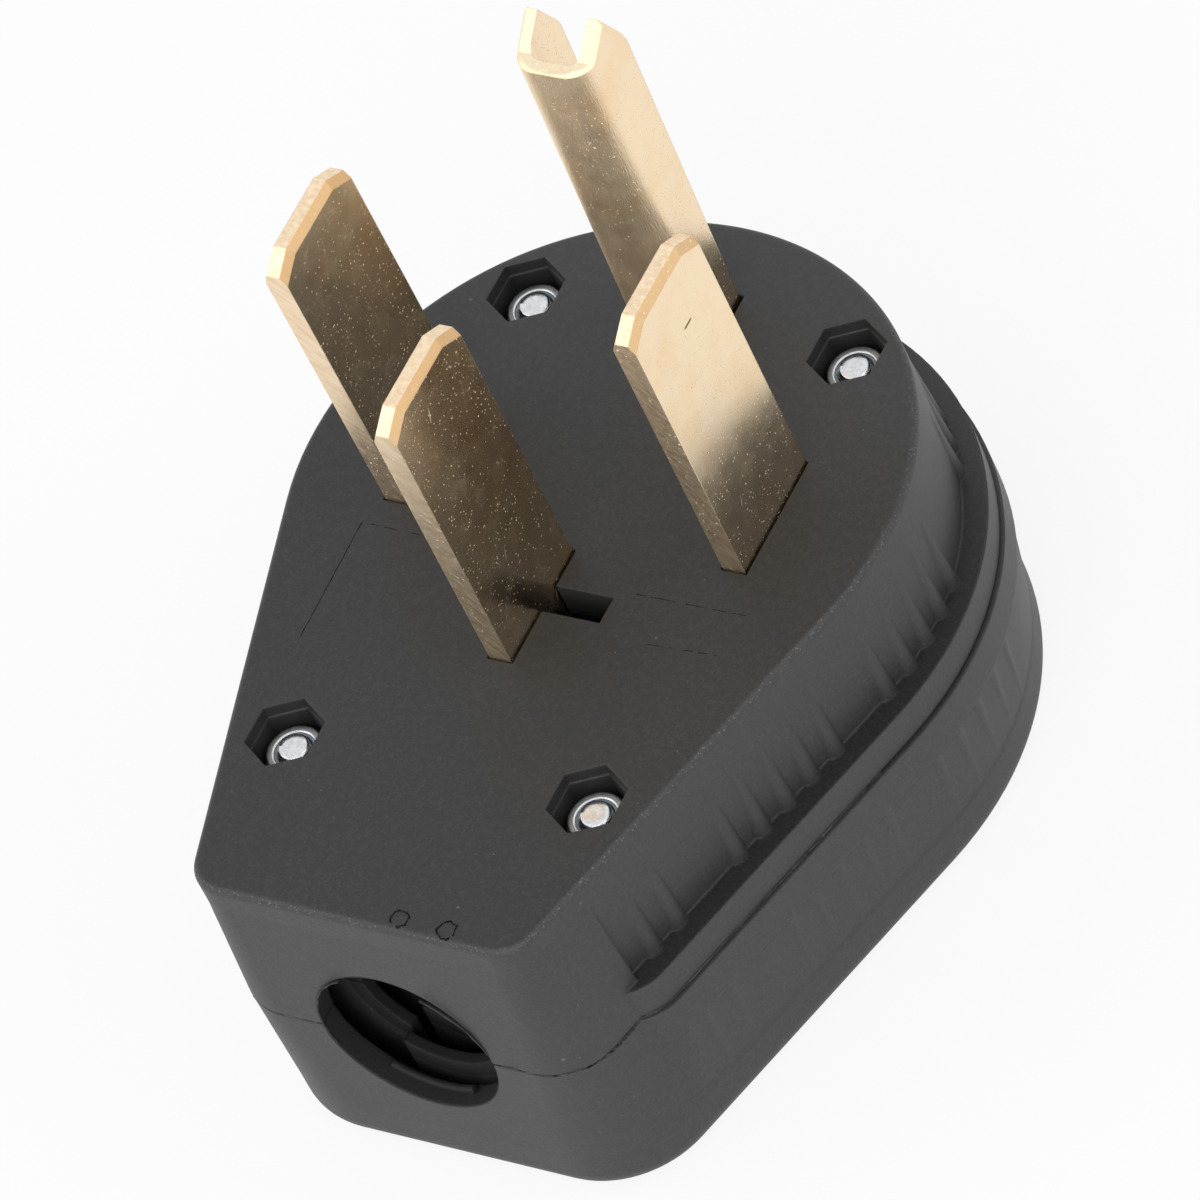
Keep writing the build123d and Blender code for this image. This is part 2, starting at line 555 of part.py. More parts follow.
with BuildPart() as ground_pin:
    with BuildSketch(Plane(PIN_START, x_dir=PIN_OUT, z_dir=(1, 0, 0))):
        with BuildLine():
            Polyline((0, -PIN_BELOW), (PIN_DEPTH, -PIN_BELOW), (PIN_DEPTH, PIN_LENGTH - PIN_END_DROP),
                     (PIN_PEAK_DEPTH, PIN_LENGTH), (PIN_RIM_DEPTH, PIN_RIM), (0, PIN_RIM), close=True)
        make_face()
    extrude(amount=PIN_WIDTH / 2, both=True)
    uprights = ground_pin.edges().filter_by(Axis((0, 0, 0), PIN_UP))
    fillet(uprights.group_by(Axis.Y)[0], PIN_BEND_RADIUS)
    tip_faces = ground_pin.faces().filter_by(lambda face: face.normal_at().dot(PIN_UP) > TIP_SLOPE)
    side_faces = ground_pin.faces().filter_by(lambda face: abs(face.normal_at().dot(PIN_UP)) < TIP_SLOPE)
    chamfer([edge for edge in tip_faces.edges() if edge in side_faces.edges()], PIN_TIP_BEVEL)
    with BuildSketch(Plane(PIN_START, x_dir=(1, 0, 0), z_dir=-PIN_OUT)):
        with BuildLine():
            ThreePointArc((-PIN_VALLEY_HALF, PIN_RIM), (0, PIN_RIM - PIN_VALLEY_DEPTH),
                          (PIN_VALLEY_HALF, PIN_RIM))
            Line((-PIN_VALLEY_HALF, PIN_RIM), (PIN_VALLEY_HALF, PIN_RIM))
        make_face()
    extrude(amount=-PIN_RIM_DEPTH, mode=Mode.SUBTRACT)
    with BuildSketch(Plane(PIN_START, x_dir=(1, 0, 0), z_dir=PIN_UP)) as channel:
        with Locations((0, PIN_SHEET)):
            Rectangle(PIN_WIDTH - 2 * PIN_SHEET, PIN_DEPTH, align=(Align.CENTER, Align.MIN))
        fillet(channel.vertices().group_by(Axis.Y)[0], PIN_BEND_RADIUS - PIN_SHEET)
    extrude(amount=PIN_LENGTH, mode=Mode.SUBTRACT)
    extrude(channel.sketch, amount=-PIN_BELOW, mode=Mode.SUBTRACT)
    with BuildSketch(Plane.XY.offset(GROUND_FOOT_BASE_Z)):
        with Locations((0, PIN_BACK_Y + PIN_SHEET)):
            Rectangle(GROUND_FOOT_WIDTH, GROUND_FOOT_LENGTH, align=(Align.CENTER, Align.MAX))
        with Locations(GROUND_TERMINAL):
            Circle(TERMINAL_SCREW_RADIUS + TERMINAL_HOLE_CLEARANCE, mode=Mode.SUBTRACT)
    extrude(amount=PIN_SHEET)

save(ground_pin, "ground_pin")

# Terminal clamps, screws and nuts
for name, terminal, foot_base_z in (("left_hot", LEFT_HOT_TERMINAL, FOOT_BASE_Z),
                                    ("right_hot", RIGHT_HOT_TERMINAL, FOOT_BASE_Z),
                                    ("neutral", NEUTRAL_TERMINAL, FOOT_BASE_Z),
                                    ("ground", GROUND_TERMINAL, GROUND_FOOT_BASE_Z)):
    save(clamp_plate(terminal, foot_base_z), f"{name}_clamp")
    save(terminal_screw(terminal, foot_base_z), f"{name}_terminal_screw")

with BuildPart() as terminal_nuts:
    extrude(rectangles(INNER_FACE_Z, TERMINAL_NUT_SIZE, TERMINAL_NUT_SIZE, TERMINALS),
            amount=TERMINAL_NUT_HEIGHT)
    extrude(circles(INNER_FACE_Z, TERMINAL_SCREW_RADIUS + THREAD_CLEARANCE, TERMINALS),
            amount=TERMINAL_NUT_HEIGHT, mode=Mode.SUBTRACT)

save(terminal_nuts, "terminal_nuts")

# Assembly screws with their lock nuts and nylon inserts
NUT_TOP_Z = NUT_SEAT_Z + NUT_HEIGHT
COLLAR_BORE = NUT_COLLAR_RADIUS - NUT_COLLAR_WALL

with BuildPart() as assembly_screws:
    for place in POSTS:
        add(slotted_screw(place, SCREW_SEAT_Z, SCREW_TIP_Z, SCREW_RADIUS, SCREW_TIP_BEVEL, SCREW_HEAD_RADIUS,
                          SCREW_HEAD_HEIGHT, SCREW_HEAD_ROUND, DRIVE_SLOT_WIDTH, DRIVE_SLOT_DEPTH))

save(assembly_screws, "assembly_screws")

with BuildPart() as lock_nuts:
    extrude(hexagons(NUT_SEAT_Z, NUT_ACROSS_FLATS, POSTS), amount=NUT_HEIGHT)
    extrude(circles(NUT_TOP_Z, NUT_COLLAR_RADIUS, POSTS), amount=NUT_COLLAR_HEIGHT)
    extrude(circles(NUT_TOP_Z, COLLAR_BORE, POSTS), amount=NUT_COLLAR_HEIGHT, mode=Mode.SUBTRACT)
    extrude(circles(NUT_SEAT_Z, SCREW_RADIUS + THREAD_CLEARANCE, POSTS), amount=NUT_HEIGHT,
            mode=Mode.SUBTRACT)

save(lock_nuts, "lock_nuts")

with BuildPart() as nut_inserts:
    extrude(circles(NUT_TOP_Z, COLLAR_BORE - INSERT_CLEARANCE, POSTS), amount=INSERT_HEIGHT)
    extrude(circles(NUT_TOP_Z, SCREW_RADIUS + THREAD_CLEARANCE, POSTS), amount=INSERT_HEIGHT,
            mode=Mode.SUBTRACT)

save(nut_inserts, "nut_inserts")

# Blade retainer: the insulating plate under the feet, with barriers between the terminals
WINDOW_WIDTH = CLAMP_WIDTH + 2 * RETAINER_WINDOW_CLEARANCE
WINDOW_LENGTH = CLAMP_LENGTH + 2 * RETAINER_WINDOW_CLEARANCE
GROUND_PAD_HEIGHT = GROUND_FOOT_BASE_Z - FOOT_GAP - RETAINER_TOP_Z

with BuildPart() as blade_retainer:
    with BuildSketch(Plane.XY.offset(RETAINER_BASE_Z)) as plate:
        with Locations((0, -RETAINER_STEM_END / 2)):
            RectangleRounded(RETAINER_STEM_WIDTH, RETAINER_STEM_END, RETAINER_CORNER)
        Circle(FACE_RADIUS - SIDE_WALL - RETAINER_MARGIN)
        add(circles(RETAINER_BASE_Z, POST_RADIUS + RETAINER_POST_CLEARANCE, POSTS), mode=Mode.SUBTRACT)
    extrude(amount=RETAINER_THICKNESS)
    with BuildSketch(Plane.XY.offset(RETAINER_TOP_Z)):
        with Locations((0, PIN_BACK_Y + PIN_SHEET)):
            Rectangle(GROUND_FOOT_WIDTH, GROUND_FOOT_LENGTH, align=(Align.CENTER, Align.MAX))
    extrude(amount=GROUND_PAD_HEIGHT)
    with BuildSketch(Plane.XY.offset(RETAINER_BASE_Z)):
        with Locations((0, BARRIER_Y)):
            Rectangle(BARRIER_LENGTH, BARRIER_THICKNESS)
        with Locations((-BARRIER_SPACING / 2, BARRIER_Y), (BARRIER_SPACING / 2, BARRIER_Y)):
            Rectangle(BARRIER_THICKNESS, BARRIER_TOP - BARRIER_Y, align=(Align.CENTER, Align.MIN))
    extrude(amount=-BARRIER_HEIGHT)
    extrude(rectangles(RETAINER_BASE_Z, WINDOW_WIDTH, WINDOW_LENGTH, TERMINALS),
            amount=RETAINER_THICKNESS + GROUND_PAD_HEIGHT, mode=Mode.SUBTRACT)
    extrude(circles(RETAINER_BASE_Z, SMALL_SCREW_RADIUS + SMALL_HOLE_CLEARANCE, BOSSES),
            amount=RETAINER_THICKNESS, mode=Mode.SUBTRACT)

save(blade_retainer, "blade_retainer")

with BuildPart() as retainer_screws:
    for place in BOSSES:
        add(slotted_screw(place, RETAINER_BASE_Z, RETAINER_TOP_Z + SMALL_SCREW_REACH, SMALL_SCREW_RADIUS,
                          SMALL_SCREW_TIP_BEVEL, SMALL_SCREW_HEAD_RADIUS, SMALL_SCREW_HEAD_HEIGHT,
                          SMALL_SCREW_HEAD_BEVEL, SMALL_SLOT_WIDTH, SMALL_SLOT_DEPTH))

save(retainer_screws, "retainer_screws")
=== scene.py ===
import math
import random

import bmesh
import bpy
from mathutils import Euler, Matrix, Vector, noise
from mathutils.bvhtree import BVHTree


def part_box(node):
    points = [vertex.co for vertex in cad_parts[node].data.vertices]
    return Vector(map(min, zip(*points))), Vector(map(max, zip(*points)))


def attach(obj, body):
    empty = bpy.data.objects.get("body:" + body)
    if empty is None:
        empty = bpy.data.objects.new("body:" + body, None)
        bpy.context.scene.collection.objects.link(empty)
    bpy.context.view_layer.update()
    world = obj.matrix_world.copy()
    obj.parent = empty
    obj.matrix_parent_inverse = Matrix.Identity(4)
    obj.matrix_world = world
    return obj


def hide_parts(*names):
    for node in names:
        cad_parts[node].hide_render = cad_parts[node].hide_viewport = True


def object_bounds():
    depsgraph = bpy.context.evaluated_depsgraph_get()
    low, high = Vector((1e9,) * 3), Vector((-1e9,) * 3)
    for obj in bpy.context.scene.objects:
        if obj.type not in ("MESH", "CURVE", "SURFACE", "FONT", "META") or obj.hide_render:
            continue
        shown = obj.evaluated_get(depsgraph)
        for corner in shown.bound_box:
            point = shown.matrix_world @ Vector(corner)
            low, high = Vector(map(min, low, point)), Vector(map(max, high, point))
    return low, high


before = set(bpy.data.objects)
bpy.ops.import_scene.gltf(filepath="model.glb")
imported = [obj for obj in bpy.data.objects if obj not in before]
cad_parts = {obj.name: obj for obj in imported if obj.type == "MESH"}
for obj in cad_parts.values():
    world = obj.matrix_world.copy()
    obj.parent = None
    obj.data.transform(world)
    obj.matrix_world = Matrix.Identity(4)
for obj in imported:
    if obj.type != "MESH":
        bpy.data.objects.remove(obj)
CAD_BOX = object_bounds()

# Right-angle power plug: finishes, fine details, stage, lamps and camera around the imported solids.
# Metres, in the frame of the solids: the flat back at z = 0, blades along +Z, cable inlet at -Y.
MM = 0.001

# Camera: the photograph's place, turn and lens
CAMERA_PLACE = (0.50815, -0.46126, 0.76342)
CAMERA_TURN = (39.3815, 18.2500, 27.2647)
CAMERA_LENS = 332.526
SENSOR_WIDTH = 36.0

# Stage and lamps
FLOOR_RADIUS = 3.0
FLOOR_SEGMENTS = 96
FLOOR_DROP = 0.02 * MM
FLOOR_WHITE_SHARE = 0.86
WORLD_LEVEL = 0.62
WHITE = (1.0, 1.0, 1.0, 1.0)
FLOOR_COLOUR = (0.86, 0.86, 0.86, 1.0)
LAMPS = (
    ("key_softbox", (0.45, -1.20, 0.85), 1.1, 11.0),
    ("fill_softbox", (-1.10, -0.60, 0.80), 1.2, 5.0),
    ("side_softbox", (1.20, 0.15, 0.90), 1.1, 4.0),
)

# Colours of the finishes, linear
# The face's top and wall colours are a shaded and a lit copy of one plastic: the top is painted darker
# and the walls lighter, as painted shade and light
SHADED_FACE_TOP = (0.0125, 0.0127, 0.0132, 1.0)
LIT_WALL_PLASTIC = (0.0310, 0.0313, 0.0321, 1.0)
INNER_PLASTIC = (0.045, 0.045, 0.047, 1.0)
# Near-black line plastic: painted shade of the witness-line grooves
GROOVE_SHADE_PLASTIC = (0.004, 0.004, 0.004, 1.0)
TORN_PLASTIC = (0.040, 0.040, 0.041, 1.0)
ROLLED_BRASS = (0.930, 0.750, 0.520, 1.0)
TARNISHED_BRASS = (0.920, 0.650, 0.380, 1.0)
CUT_BRASS = (0.960, 0.800, 0.580, 1.0)
CUT_BRASS_DARK = (0.800, 0.600, 0.400, 1.0)
BEVEL_BRASS = (0.720, 0.470, 0.230, 1.0)
GOUGED_BRASS = (0.250, 0.170, 0.090, 1.0)
BOUNCED_BRASS = (0.600, 0.560, 0.500, 1.0)
PIN_CUT = (0.960, 0.850, 0.640, 1.0)
PIN_CUT_DARK = (0.880, 0.730, 0.500, 1.0)
PIN_BEVEL = (0.900, 0.740, 0.480, 1.0)
PIT_BRASS = (0.950, 0.830, 0.600, 1.0)
ZINC = (0.760, 0.775, 0.800, 1.0)
ZINC_DULL = (0.620, 0.635, 0.665, 1.0)
# Collar zinc is darker, partly a duller plating and partly a painted reflection of the dark pocket
COLLAR_ZINC = (0.310, 0.310, 0.298, 1.0)
ZINC_DARK = (0.400, 0.400, 0.410, 1.0)
RUBBED_ZINC = (0.920, 0.930, 0.950, 1.0)
NYLON = (0.300, 0.350, 0.390, 1.0)
NYLON_PALE = (0.375, 0.437, 0.487, 1.0)
DUST = (0.300, 0.300, 0.300, 1.0)
BLACK = (0.0, 0.0, 0.0, 1.0)

# What the shared effects are made of: sizes against each other, shares, and ranges of noise
MID_NOISE = (0.3, 0.7)
COARSE_GRAIN = 3.2
COARSE_GRAIN_SHARE = 0.55
CLOUD_SCALE = 85.0
SMALLEST_SPECK = 0.4
SPECK_SPREAD = 0.9
SPECK_CORE = 0.45
EDGE_TURN = (0.995, 0.86)
WEAR_SCALE = 900.0
WEAR_RANGE = (0.38, 0.62)
STREAK_TONE_SCALE = 0.31
CELL_TURN = (0.62, 0.41, 0.70)

# Values that the finishes give to the shared effects
PLASTIC_GRAIN = {"Grain Size": 0.13 * MM}
NYLON_GRAIN = {"Grain Size": 0.25 * MM}
PLASTIC_EDGES = {"Radius": 0.38 * MM, "Breakup": 0.6}
BRASS_EDGES = {"Radius": 0.16 * MM, "Breakup": 0.5}
PLATED_EDGES = {"Radius": 0.10 * MM, "Breakup": 0.3}
CRUMBS = {"Spacing": 0.24 * MM, "Size": 0.10 * MM, "Share": 0.60}
MOTES = {"Spacing": 1.5 * MM, "Size": 0.08 * MM, "Share": 0.35}
LINT = {"Spacing": 4.5 * MM, "Size": 0.20 * MM, "Share": 0.35}
PITS = {"Spacing": 0.31 * MM, "Size": 0.074 * MM}
DENTS = {"Spacing": 1.3 * MM, "Size": 0.12 * MM, "Share": 0.50}
PLATING_SPOTS = {"Spacing": 0.7 * MM, "Size": 0.14 * MM, "Share": 0.6}
HAIRLINES = {"Lean": 0.35, "Spacing": 1.3 * MM, "Length": 16.0 * MM, "Width": 0.075 * MM, "Share": 0.50}
NICKS = {"Lean": -0.6, "Spacing": 2.8 * MM, "Length": 9.0 * MM, "Width": 0.14 * MM, "Share": 0.40}
CUT_STREAKS = {"Across": 0.13 * MM, "Along": 0.9 * MM}

# Plastic: where its top begins, and how strongly each mark tells in colour and roughness
TOP_RANGE = (0.80, 0.97)
UPRIGHT_LIMIT = 0.05
LIGHTER_SHARE = 0.055
DULLER_SHARE = 0.16
FLECK_RANGE = (0.72, 1.02)
FLECK_SHARE = 0.30
RUBBED_SHARE = 0.18
CRUMB_SHARE = 0.26
MOTE_SHARE = 0.35
LINT_SHARE = 0.22
# The recess and mouth shares below set how dark the painted shade in the pockets, the spare slot and the
# cable mouth is, and how much rougher it is there
RECESS_SHARE = 0.65
PAINTED_SHADE_SHARE = 0.80
PLASTIC_ROUGH = (0.47, 0.56)
RUBBED_ROUGH = -0.10
SHADE_ROUGH = 0.22

# Stretch along y over which the face grows paler towards the round end
FADE_RANGE = (2.0 * MM, 33.0 * MM)
FADE_SHARE = 0.020

# Band of the normal and of the height in which crumbs of flash cling to the face's edge
ROUNDED_RANGE = (0.15, 0.30)
FACE_EDGE = (35.00 * MM, 35.25 * MM)

# Brass: its noises, each a scale, detail and roughness, with the ranges used of them, and how strongly
# each mark tells in colour, roughness and relief
END_ON_RANGE = (0.15, 0.60)
PIT_PATCHES = (75.0, 1.0, 0.5)
PIT_PATCH_RANGE = (0.40, 0.62)
PIT_SHARES = (0.18, 0.50)
STAINS = (190.0, 4.0, 0.62)
STAIN_RANGE = (0.46, 0.74)
STAIN_SHARE = 0.7
BEVEL_SHARE = 0.85
BOUNCED_GLOSS = 0.25
HAZE = (420.0, 3.0, 0.6)
HAZE_ROUGH = (0.22, 0.29)
CUT_ROUGH = (0.28, 0.46)
SPECK_ROUGH = 0.42
LINE_ROUGH = 0.34
WORN_ROUGH = 0.05
GOUGE_RELIEF = -3.0
SPECK_RELIEF = -1.2
LINE_RELIEF = -1.0
FINE_RELIEF = (7000.0, 2.0, 0.6)
FINE_SHARE = 0.08
CHATTER_SHARE = 1.7
END_ON_CHATTER = 0.25
BRASS_RELIEF = 0.020 * MM

# Plated steel and nylon, in the same way
PLATING = (1500.0, 3.0, 0.7)
PLATING_RANGE = (0.35, 0.68)
PLATING_ROUGH = 0.06
PLATING_SHEEN = -0.08
SPOT_SHARE = 0.5
BRIGHT_EDGE_SHARE = 0.6
TOOLING = (4200.0, 3.0, 0.65)
PLATING_RELIEF = 0.016 * MM
NYLON_ROUGH = (0.34, 0.46)
NYLON_RELIEF = 0.01 * MM

# Nut pockets, with left and right folded together, the spare slot, and the gouge on the right blade
POCKETS = ((16.05 * MM, -32.70 * MM, 0.0), (17.20 * MM, 18.90 * MM, 0.0))
POCKET_REACH = 4.05 * MM
SLOT_MIDDLE = (4.60 * MM, -13.20 * MM)
SLOT_HALF = (3.90 * MM, 1.70 * MM)
GOUGE_X = 15.0 * MM
GOUGE_MIDDLE = (0.88 * MM, 62.80 * MM)
GOUGE_HALF = (0.75 * MM, 0.15 * MM)

# Fasteners. A collar's rim is rows of height and radius from its lip. A screw head's crown is rows of
# height and share of the radius; its round shoulder is a start, a share of the height and two shares of
# the radius; the dish in a screw's end is two shares of the radius and a depth.
WIDEST_SHARE = 0.98
THREAD_PITCH = 0.794 * MM
THREAD_DEPTH = 0.36 * MM
THREAD_ROUNDING = 0.9
THREAD_LENGTH = 4.5 * MM
THREAD_STEPS = 10
THREAD_RUNOUT = 0.3 * MM
THREAD_END_GAP = 0.04 * MM
NUT_CHAMFER_STEPS = 4
NUT_CHAMFER_TURN = 28.0
NUT_BORE = 1.76 * MM
COLLAR_FOOT = 0.12 * MM
COLLAR_ROLL = 0.22 * MM
COLLAR_WALL = 0.36 * MM
COLLAR_LIP = 0.78 * MM
COLLAR_DEPTH = 0.15 * MM
COLLAR_RIM = ((-0.02 * MM, 0.18 * MM), (-0.05 * MM, 0.05 * MM), (-0.09 * MM, 0.0),
              (-COLLAR_DEPTH, 0.02 * MM))
HEAD_CROWN = ((0.0, 0.25), (0.05 * MM, 0.62))
HEAD_ROUND = (0.12 * MM, 0.42, 0.78, 0.22)
HEAD_BEVEL = 0.1 * MM
SHANK_FILLET = 0.15 * MM
SHANK_SLACK = 0.05 * MM
SCREW_END_BEVEL = 0.36 * MM
SCREW_END_STEP = 0.02 * MM
SCREW_END_DISH = (0.55, 0.2, 0.05 * MM)
ROLLED_TURNS = [math.radians(15 * i) for i in range(7)]
SEGMENTS = 72

# Marks that the mould left on the face: lines from start to end, in millimetres, with their strength,
# and the places of the torn gates
FACE_LINES = (
    ((-19.80, -22.63), (-20.19, -9.33), 0.9),
    ((-20.19, -9.33), (-13.85, -9.42), 0.5),
    ((8.84, -10.89), (21.58, -10.73), 0.4),
    ((12.94, -15.79), (21.63, -15.38), 0.4),
)
LINE_WIDTH = 0.14 * MM
LINE_HEIGHT = 0.03 * MM
LINE_STEP = 0.30 * MM
LINE_SWAY = 0.04 * MM
LINE_SWAY_SCALE = 900
LINE_LEVEL_SCALE = 2600
LINE_BREAK = 0.25
GATE_PLACES = ((4.84, -48.75), (9.80, -48.85))
GATE_RADIUS = 0.85 * MM
GATE_RIDGE = 0.19 * MM
GATE_STEPS = 40
GATE_WAVES = 2.2
GATE_SEED = 7.3
GATE_SWAY = 0.30
GATE_JITTER = 0.08
GATE_BREAK = -0.28
GATE_SINK = 0.03 * MM
DRAW_SEED = 7

# Flash along the parting line, round the cable end and up the straight sides
PARTING_Z = 18.30 * MM
PARTING_GAP = 0.30 * MM
FLASH_CENTRE_Y = -35.0 * MM
FLASH_REACH = 80.0 * MM
FLASH_ROOT = 0.45 * MM
FLASH_PROUD = 0.32 * MM
FLASH_LEAST = -0.25
FLASH_STEP = 0.35
FLASH_WAVES = (30, 3.1)
FLASH_BROAD_WAVES = (7, 5.7)
FLASH_OUT_JITTER = (-0.15, 0.25)
FLASH_TOP_JITTER = (-0.35, 0.35)
FLASH_TOP_RANGE = (-0.85, 0.92)
FLASH_STRETCHES = ((144.0, 239.0), (301.0, 396.0))

# Cable mouth: its plane, radius and the depth of its painted shade, the ragged rim and the lip just
# behind it
MOUTH_Y = -51.40 * MM
MOUTH_RADIUS = 9.10 * MM
MOUTH_DEPTH = 20.0 * MM
MOUTH_SKIN = (0.20 * MM, 0.05 * MM)
MOUTH_EDGE = (0.05 * MM, 0.45 * MM)
RIM_BURR = 0.20 * MM
RIM_BURR_DEPTHS = (0.30 * MM, 0.42 * MM, 0.55 * MM)
RIM_BURR_ROOT = 0.06 * MM
RIM_WAVES = (11, 4.3)
RIM_STEPS = 90
RIM_STRETCHES = ((8.0, 62.0), (118.0, 200.0), (318.0, 352.0))
LIP_ROOT = 0.05 * MM
LIP_STEPS = 40
LIP_ROUND_TURNS = [math.radians(18 * i) for i in range(6)]
LIP_RADIUS = 8.45 * MM
LIP_SETBACK = 1.60 * MM
LIP_THICKNESS = 0.70 * MM
LIP_ROUND = 0.25 * MM
LIP_ARC = (233.0, 291.4)


# Node helpers
def feed(tree, value, target):
    """Joins an output to a socket, or sets the socket's own value."""
    if isinstance(value, bpy.types.NodeSocket):
        tree.links.new(value, target)
    else:
        target.default_value = value


def calculate(tree, operation, *values, clamp=False):
    """Math node over sockets or numbers."""
    node = tree.nodes.new("ShaderNodeMath")
    node.operation = operation
    node.use_clamp = clamp
    for value, target in zip(values, node.inputs):
        feed(tree, value, target)
    return node.outputs[0]


def times(tree, first, second):
    """Product of two values."""
    return calculate(tree, "MULTIPLY", first, second)


def higher(tree, first, second):
    """The higher of two values."""
    return calculate(tree, "MAXIMUM", first, second)


def with_share(tree, value, share, base):
    """Base plus a share of the value."""
    return calculate(tree, "MULTIPLY_ADD", value, share, base)


def scaled_vector(tree, vector, factors):
    """Vector times one factor on each axis; the factors are sockets or numbers."""
    combine = tree.nodes.new("ShaderNodeCombineXYZ")
    for factor, target in zip(factors, combine.inputs):
        feed(tree, factor, target)
    node = tree.nodes.new("ShaderNodeVectorMath")
    node.operation = "MULTIPLY"
    feed(tree, vector, node.inputs[0])
    feed(tree, combine.outputs[0], node.inputs[1])
    return node.outputs[0]


def turned(tree, vector, angles):
    """Vector turned about x, y and z, so that no face lies along the cells of a pattern."""
    node = tree.nodes.new("ShaderNodeVectorRotate")
    node.rotation_type = "EULER_XYZ"
    feed(tree, vector, node.inputs["Vector"])
    feed(tree, angles, node.inputs["Rotation"])
    return node.outputs[0]


def remap(tree, value, low, high, to_low=0.0, to_high=1.0):
    """Clamped map of a value from one range to another."""
    node = tree.nodes.new("ShaderNodeMapRange")
    for entry, target in zip((value, low, high, to_low, to_high), node.inputs):
        feed(tree, entry, target)
    return node.outputs[0]


def blend_colour(tree, factor, first, second):
    """Colour between two colours."""
    node = tree.nodes.new("ShaderNodeMix")
    node.data_type = "RGBA"
    feed(tree, factor, node.inputs[0])
    feed(tree, first, node.inputs[6])
    feed(tree, second, node.inputs[7])
    return node.outputs[2]


def noise_value(tree, vector, scale, detail=2.0, roughness=0.5):
    """Noise texture's value."""
    node = tree.nodes.new("ShaderNodeTexNoise")
    feed(tree, vector, node.inputs["Vector"])
    feed(tree, scale, node.inputs["Scale"])
    node.inputs["Detail"].default_value = detail
    node.inputs["Roughness"].default_value = roughness
    return node.outputs[0]


def object_coordinates(tree):
    """Place on the object, in metres."""
    return tree.nodes.new("ShaderNodeTexCoord").outputs["Object"]


def normal_part(tree, axis):
    """Size of the surface normal's part along one axis, from 0 to 1."""
    normal = tree.nodes.new("ShaderNodeTexCoord").outputs["Normal"]
    parts = tree.nodes.new("ShaderNodeSeparateXYZ")
    tree.links.new(normal, parts.inputs[0])
    return calculate(tree, "ABSOLUTE", parts.outputs[axis])


# Shared effects
def effect(name, inputs, outputs):
    """Empty node group with its sockets; returns the group, its inner inputs and its inner outputs."""
    group = bpy.data.node_groups.new(name, "ShaderNodeTree")
    for label, kind, value in inputs:
        item = group.interface.new_socket(name=label, in_out="INPUT", socket_type=kind)
        if value is not None:
            item.default_value = value
    for label, kind in outputs:
        group.interface.new_socket(name=label, in_out="OUTPUT", socket_type=kind)
    source = group.nodes.new("NodeGroupInput")
    sink = group.nodes.new("NodeGroupOutput")
    return group, source.outputs, sink.inputs


def make_moulded_grain():
    """Fine spark-eroded grain and the slow clouding of moulded plastic."""
    group, given, result = effect(
        "Moulded Grain",
        (("Vector", "NodeSocketVector", None), ("Grain Size", "NodeSocketFloat", 0.2 * MM)),
        (("Height", "NodeSocketFloat"), ("Cloud", "NodeSocketFloat")),
    )
    fine_scale = calculate(group, "DIVIDE", 1.0, given["Grain Size"])
    coarse_scale = calculate(group, "DIVIDE", fine_scale, COARSE_GRAIN)
    fine = noise_value(group, given["Vector"], fine_scale, 2.0, 0.62)
    coarse = noise_value(group, given["Vector"], coarse_scale, 1.0, 0.5)
    feed(group, with_share(group, coarse, COARSE_GRAIN_SHARE, fine), result["Height"])
    feed(group, noise_value(group, given["Vector"], CLOUD_SCALE, 3.0, 0.6), result["Cloud"])
    return group


def make_sparse_specks():
    """Small round spots, each in its own cell, with a share of the cells left empty."""
    group, given, result = effect(
        "Sparse Specks",
        (("Vector", "NodeSocketVector", None), ("Spacing", "NodeSocketFloat", 1.0 * MM),
         ("Size", "NodeSocketFloat", 0.08 * MM), ("Share", "NodeSocketFloat", 0.5)),
        (("Mask", "NodeSocketFloat"),),
    )
    cells = group.nodes.new("ShaderNodeTexVoronoi")
    feed(group, turned(group, given["Vector"], CELL_TURN), cells.inputs["Vector"])
    feed(group, calculate(group, "DIVIDE", 1.0, given["Spacing"]), cells.inputs["Scale"])
    draw = group.nodes.new("ShaderNodeSeparateColor")
    feed(group, cells.outputs["Color"], draw.inputs[0])
    growth = with_share(group, draw.outputs[2], SPECK_SPREAD, SMALLEST_SPECK)
    size = times(group, given["Size"], growth)
    reach = calculate(group, "DIVIDE", size, given["Spacing"])
    dot = remap(group, cells.outputs["Distance"], reach, times(group, reach, SPECK_CORE))
    kept = calculate(group, "LESS_THAN", draw.outputs[0], given["Share"])
    feed(group, times(group, dot, kept), result["Mask"])
    return group


def make_hairline_scratches():
    """Thin short scratches, drawn out along one leaning direction."""
    group, given, result = effect(
        "Hairline Scratches",
        (("Vector", "NodeSocketVector", None), ("Lean", "NodeSocketFloat", 0.0),
         ("Spacing", "NodeSocketFloat", 1.2 * MM), ("Length", "NodeSocketFloat", 30.0 * MM),
         ("Width", "NodeSocketFloat", 0.05 * MM), ("Share", "NodeSocketFloat", 0.5)),
        (("Mask", "NodeSocketFloat"),),
    )
    turn = group.nodes.new("ShaderNodeCombineXYZ")
    feed(group, given["Lean"], turn.inputs[0])
    turn.inputs[2].default_value = CELL_TURN[2]
    leaning = turned(group, given["Vector"], turn.outputs[0])
    across = calculate(group, "DIVIDE", 1.0, given["Spacing"])
    along = calculate(group, "DIVIDE", 1.0, given["Length"])
    drawn = scaled_vector(group, leaning, (across, across, along))
    cells = group.nodes.new("ShaderNodeTexVoronoi")
    feed(group, drawn, cells.inputs["Vector"])
    cells.inputs["Scale"].default_value = 1.0
    reach = calculate(group, "DIVIDE", given["Width"], given["Spacing"])
    line = remap(group, cells.outputs["Distance"], reach, 0.0)
    draw = group.nodes.new("ShaderNodeSeparateColor")
    feed(group, cells.outputs["Color"], draw.inputs[0])
    kept = calculate(group, "LESS_THAN", draw.outputs[1], given["Share"])
    feed(group, times(group, line, kept), result["Mask"])
    return group


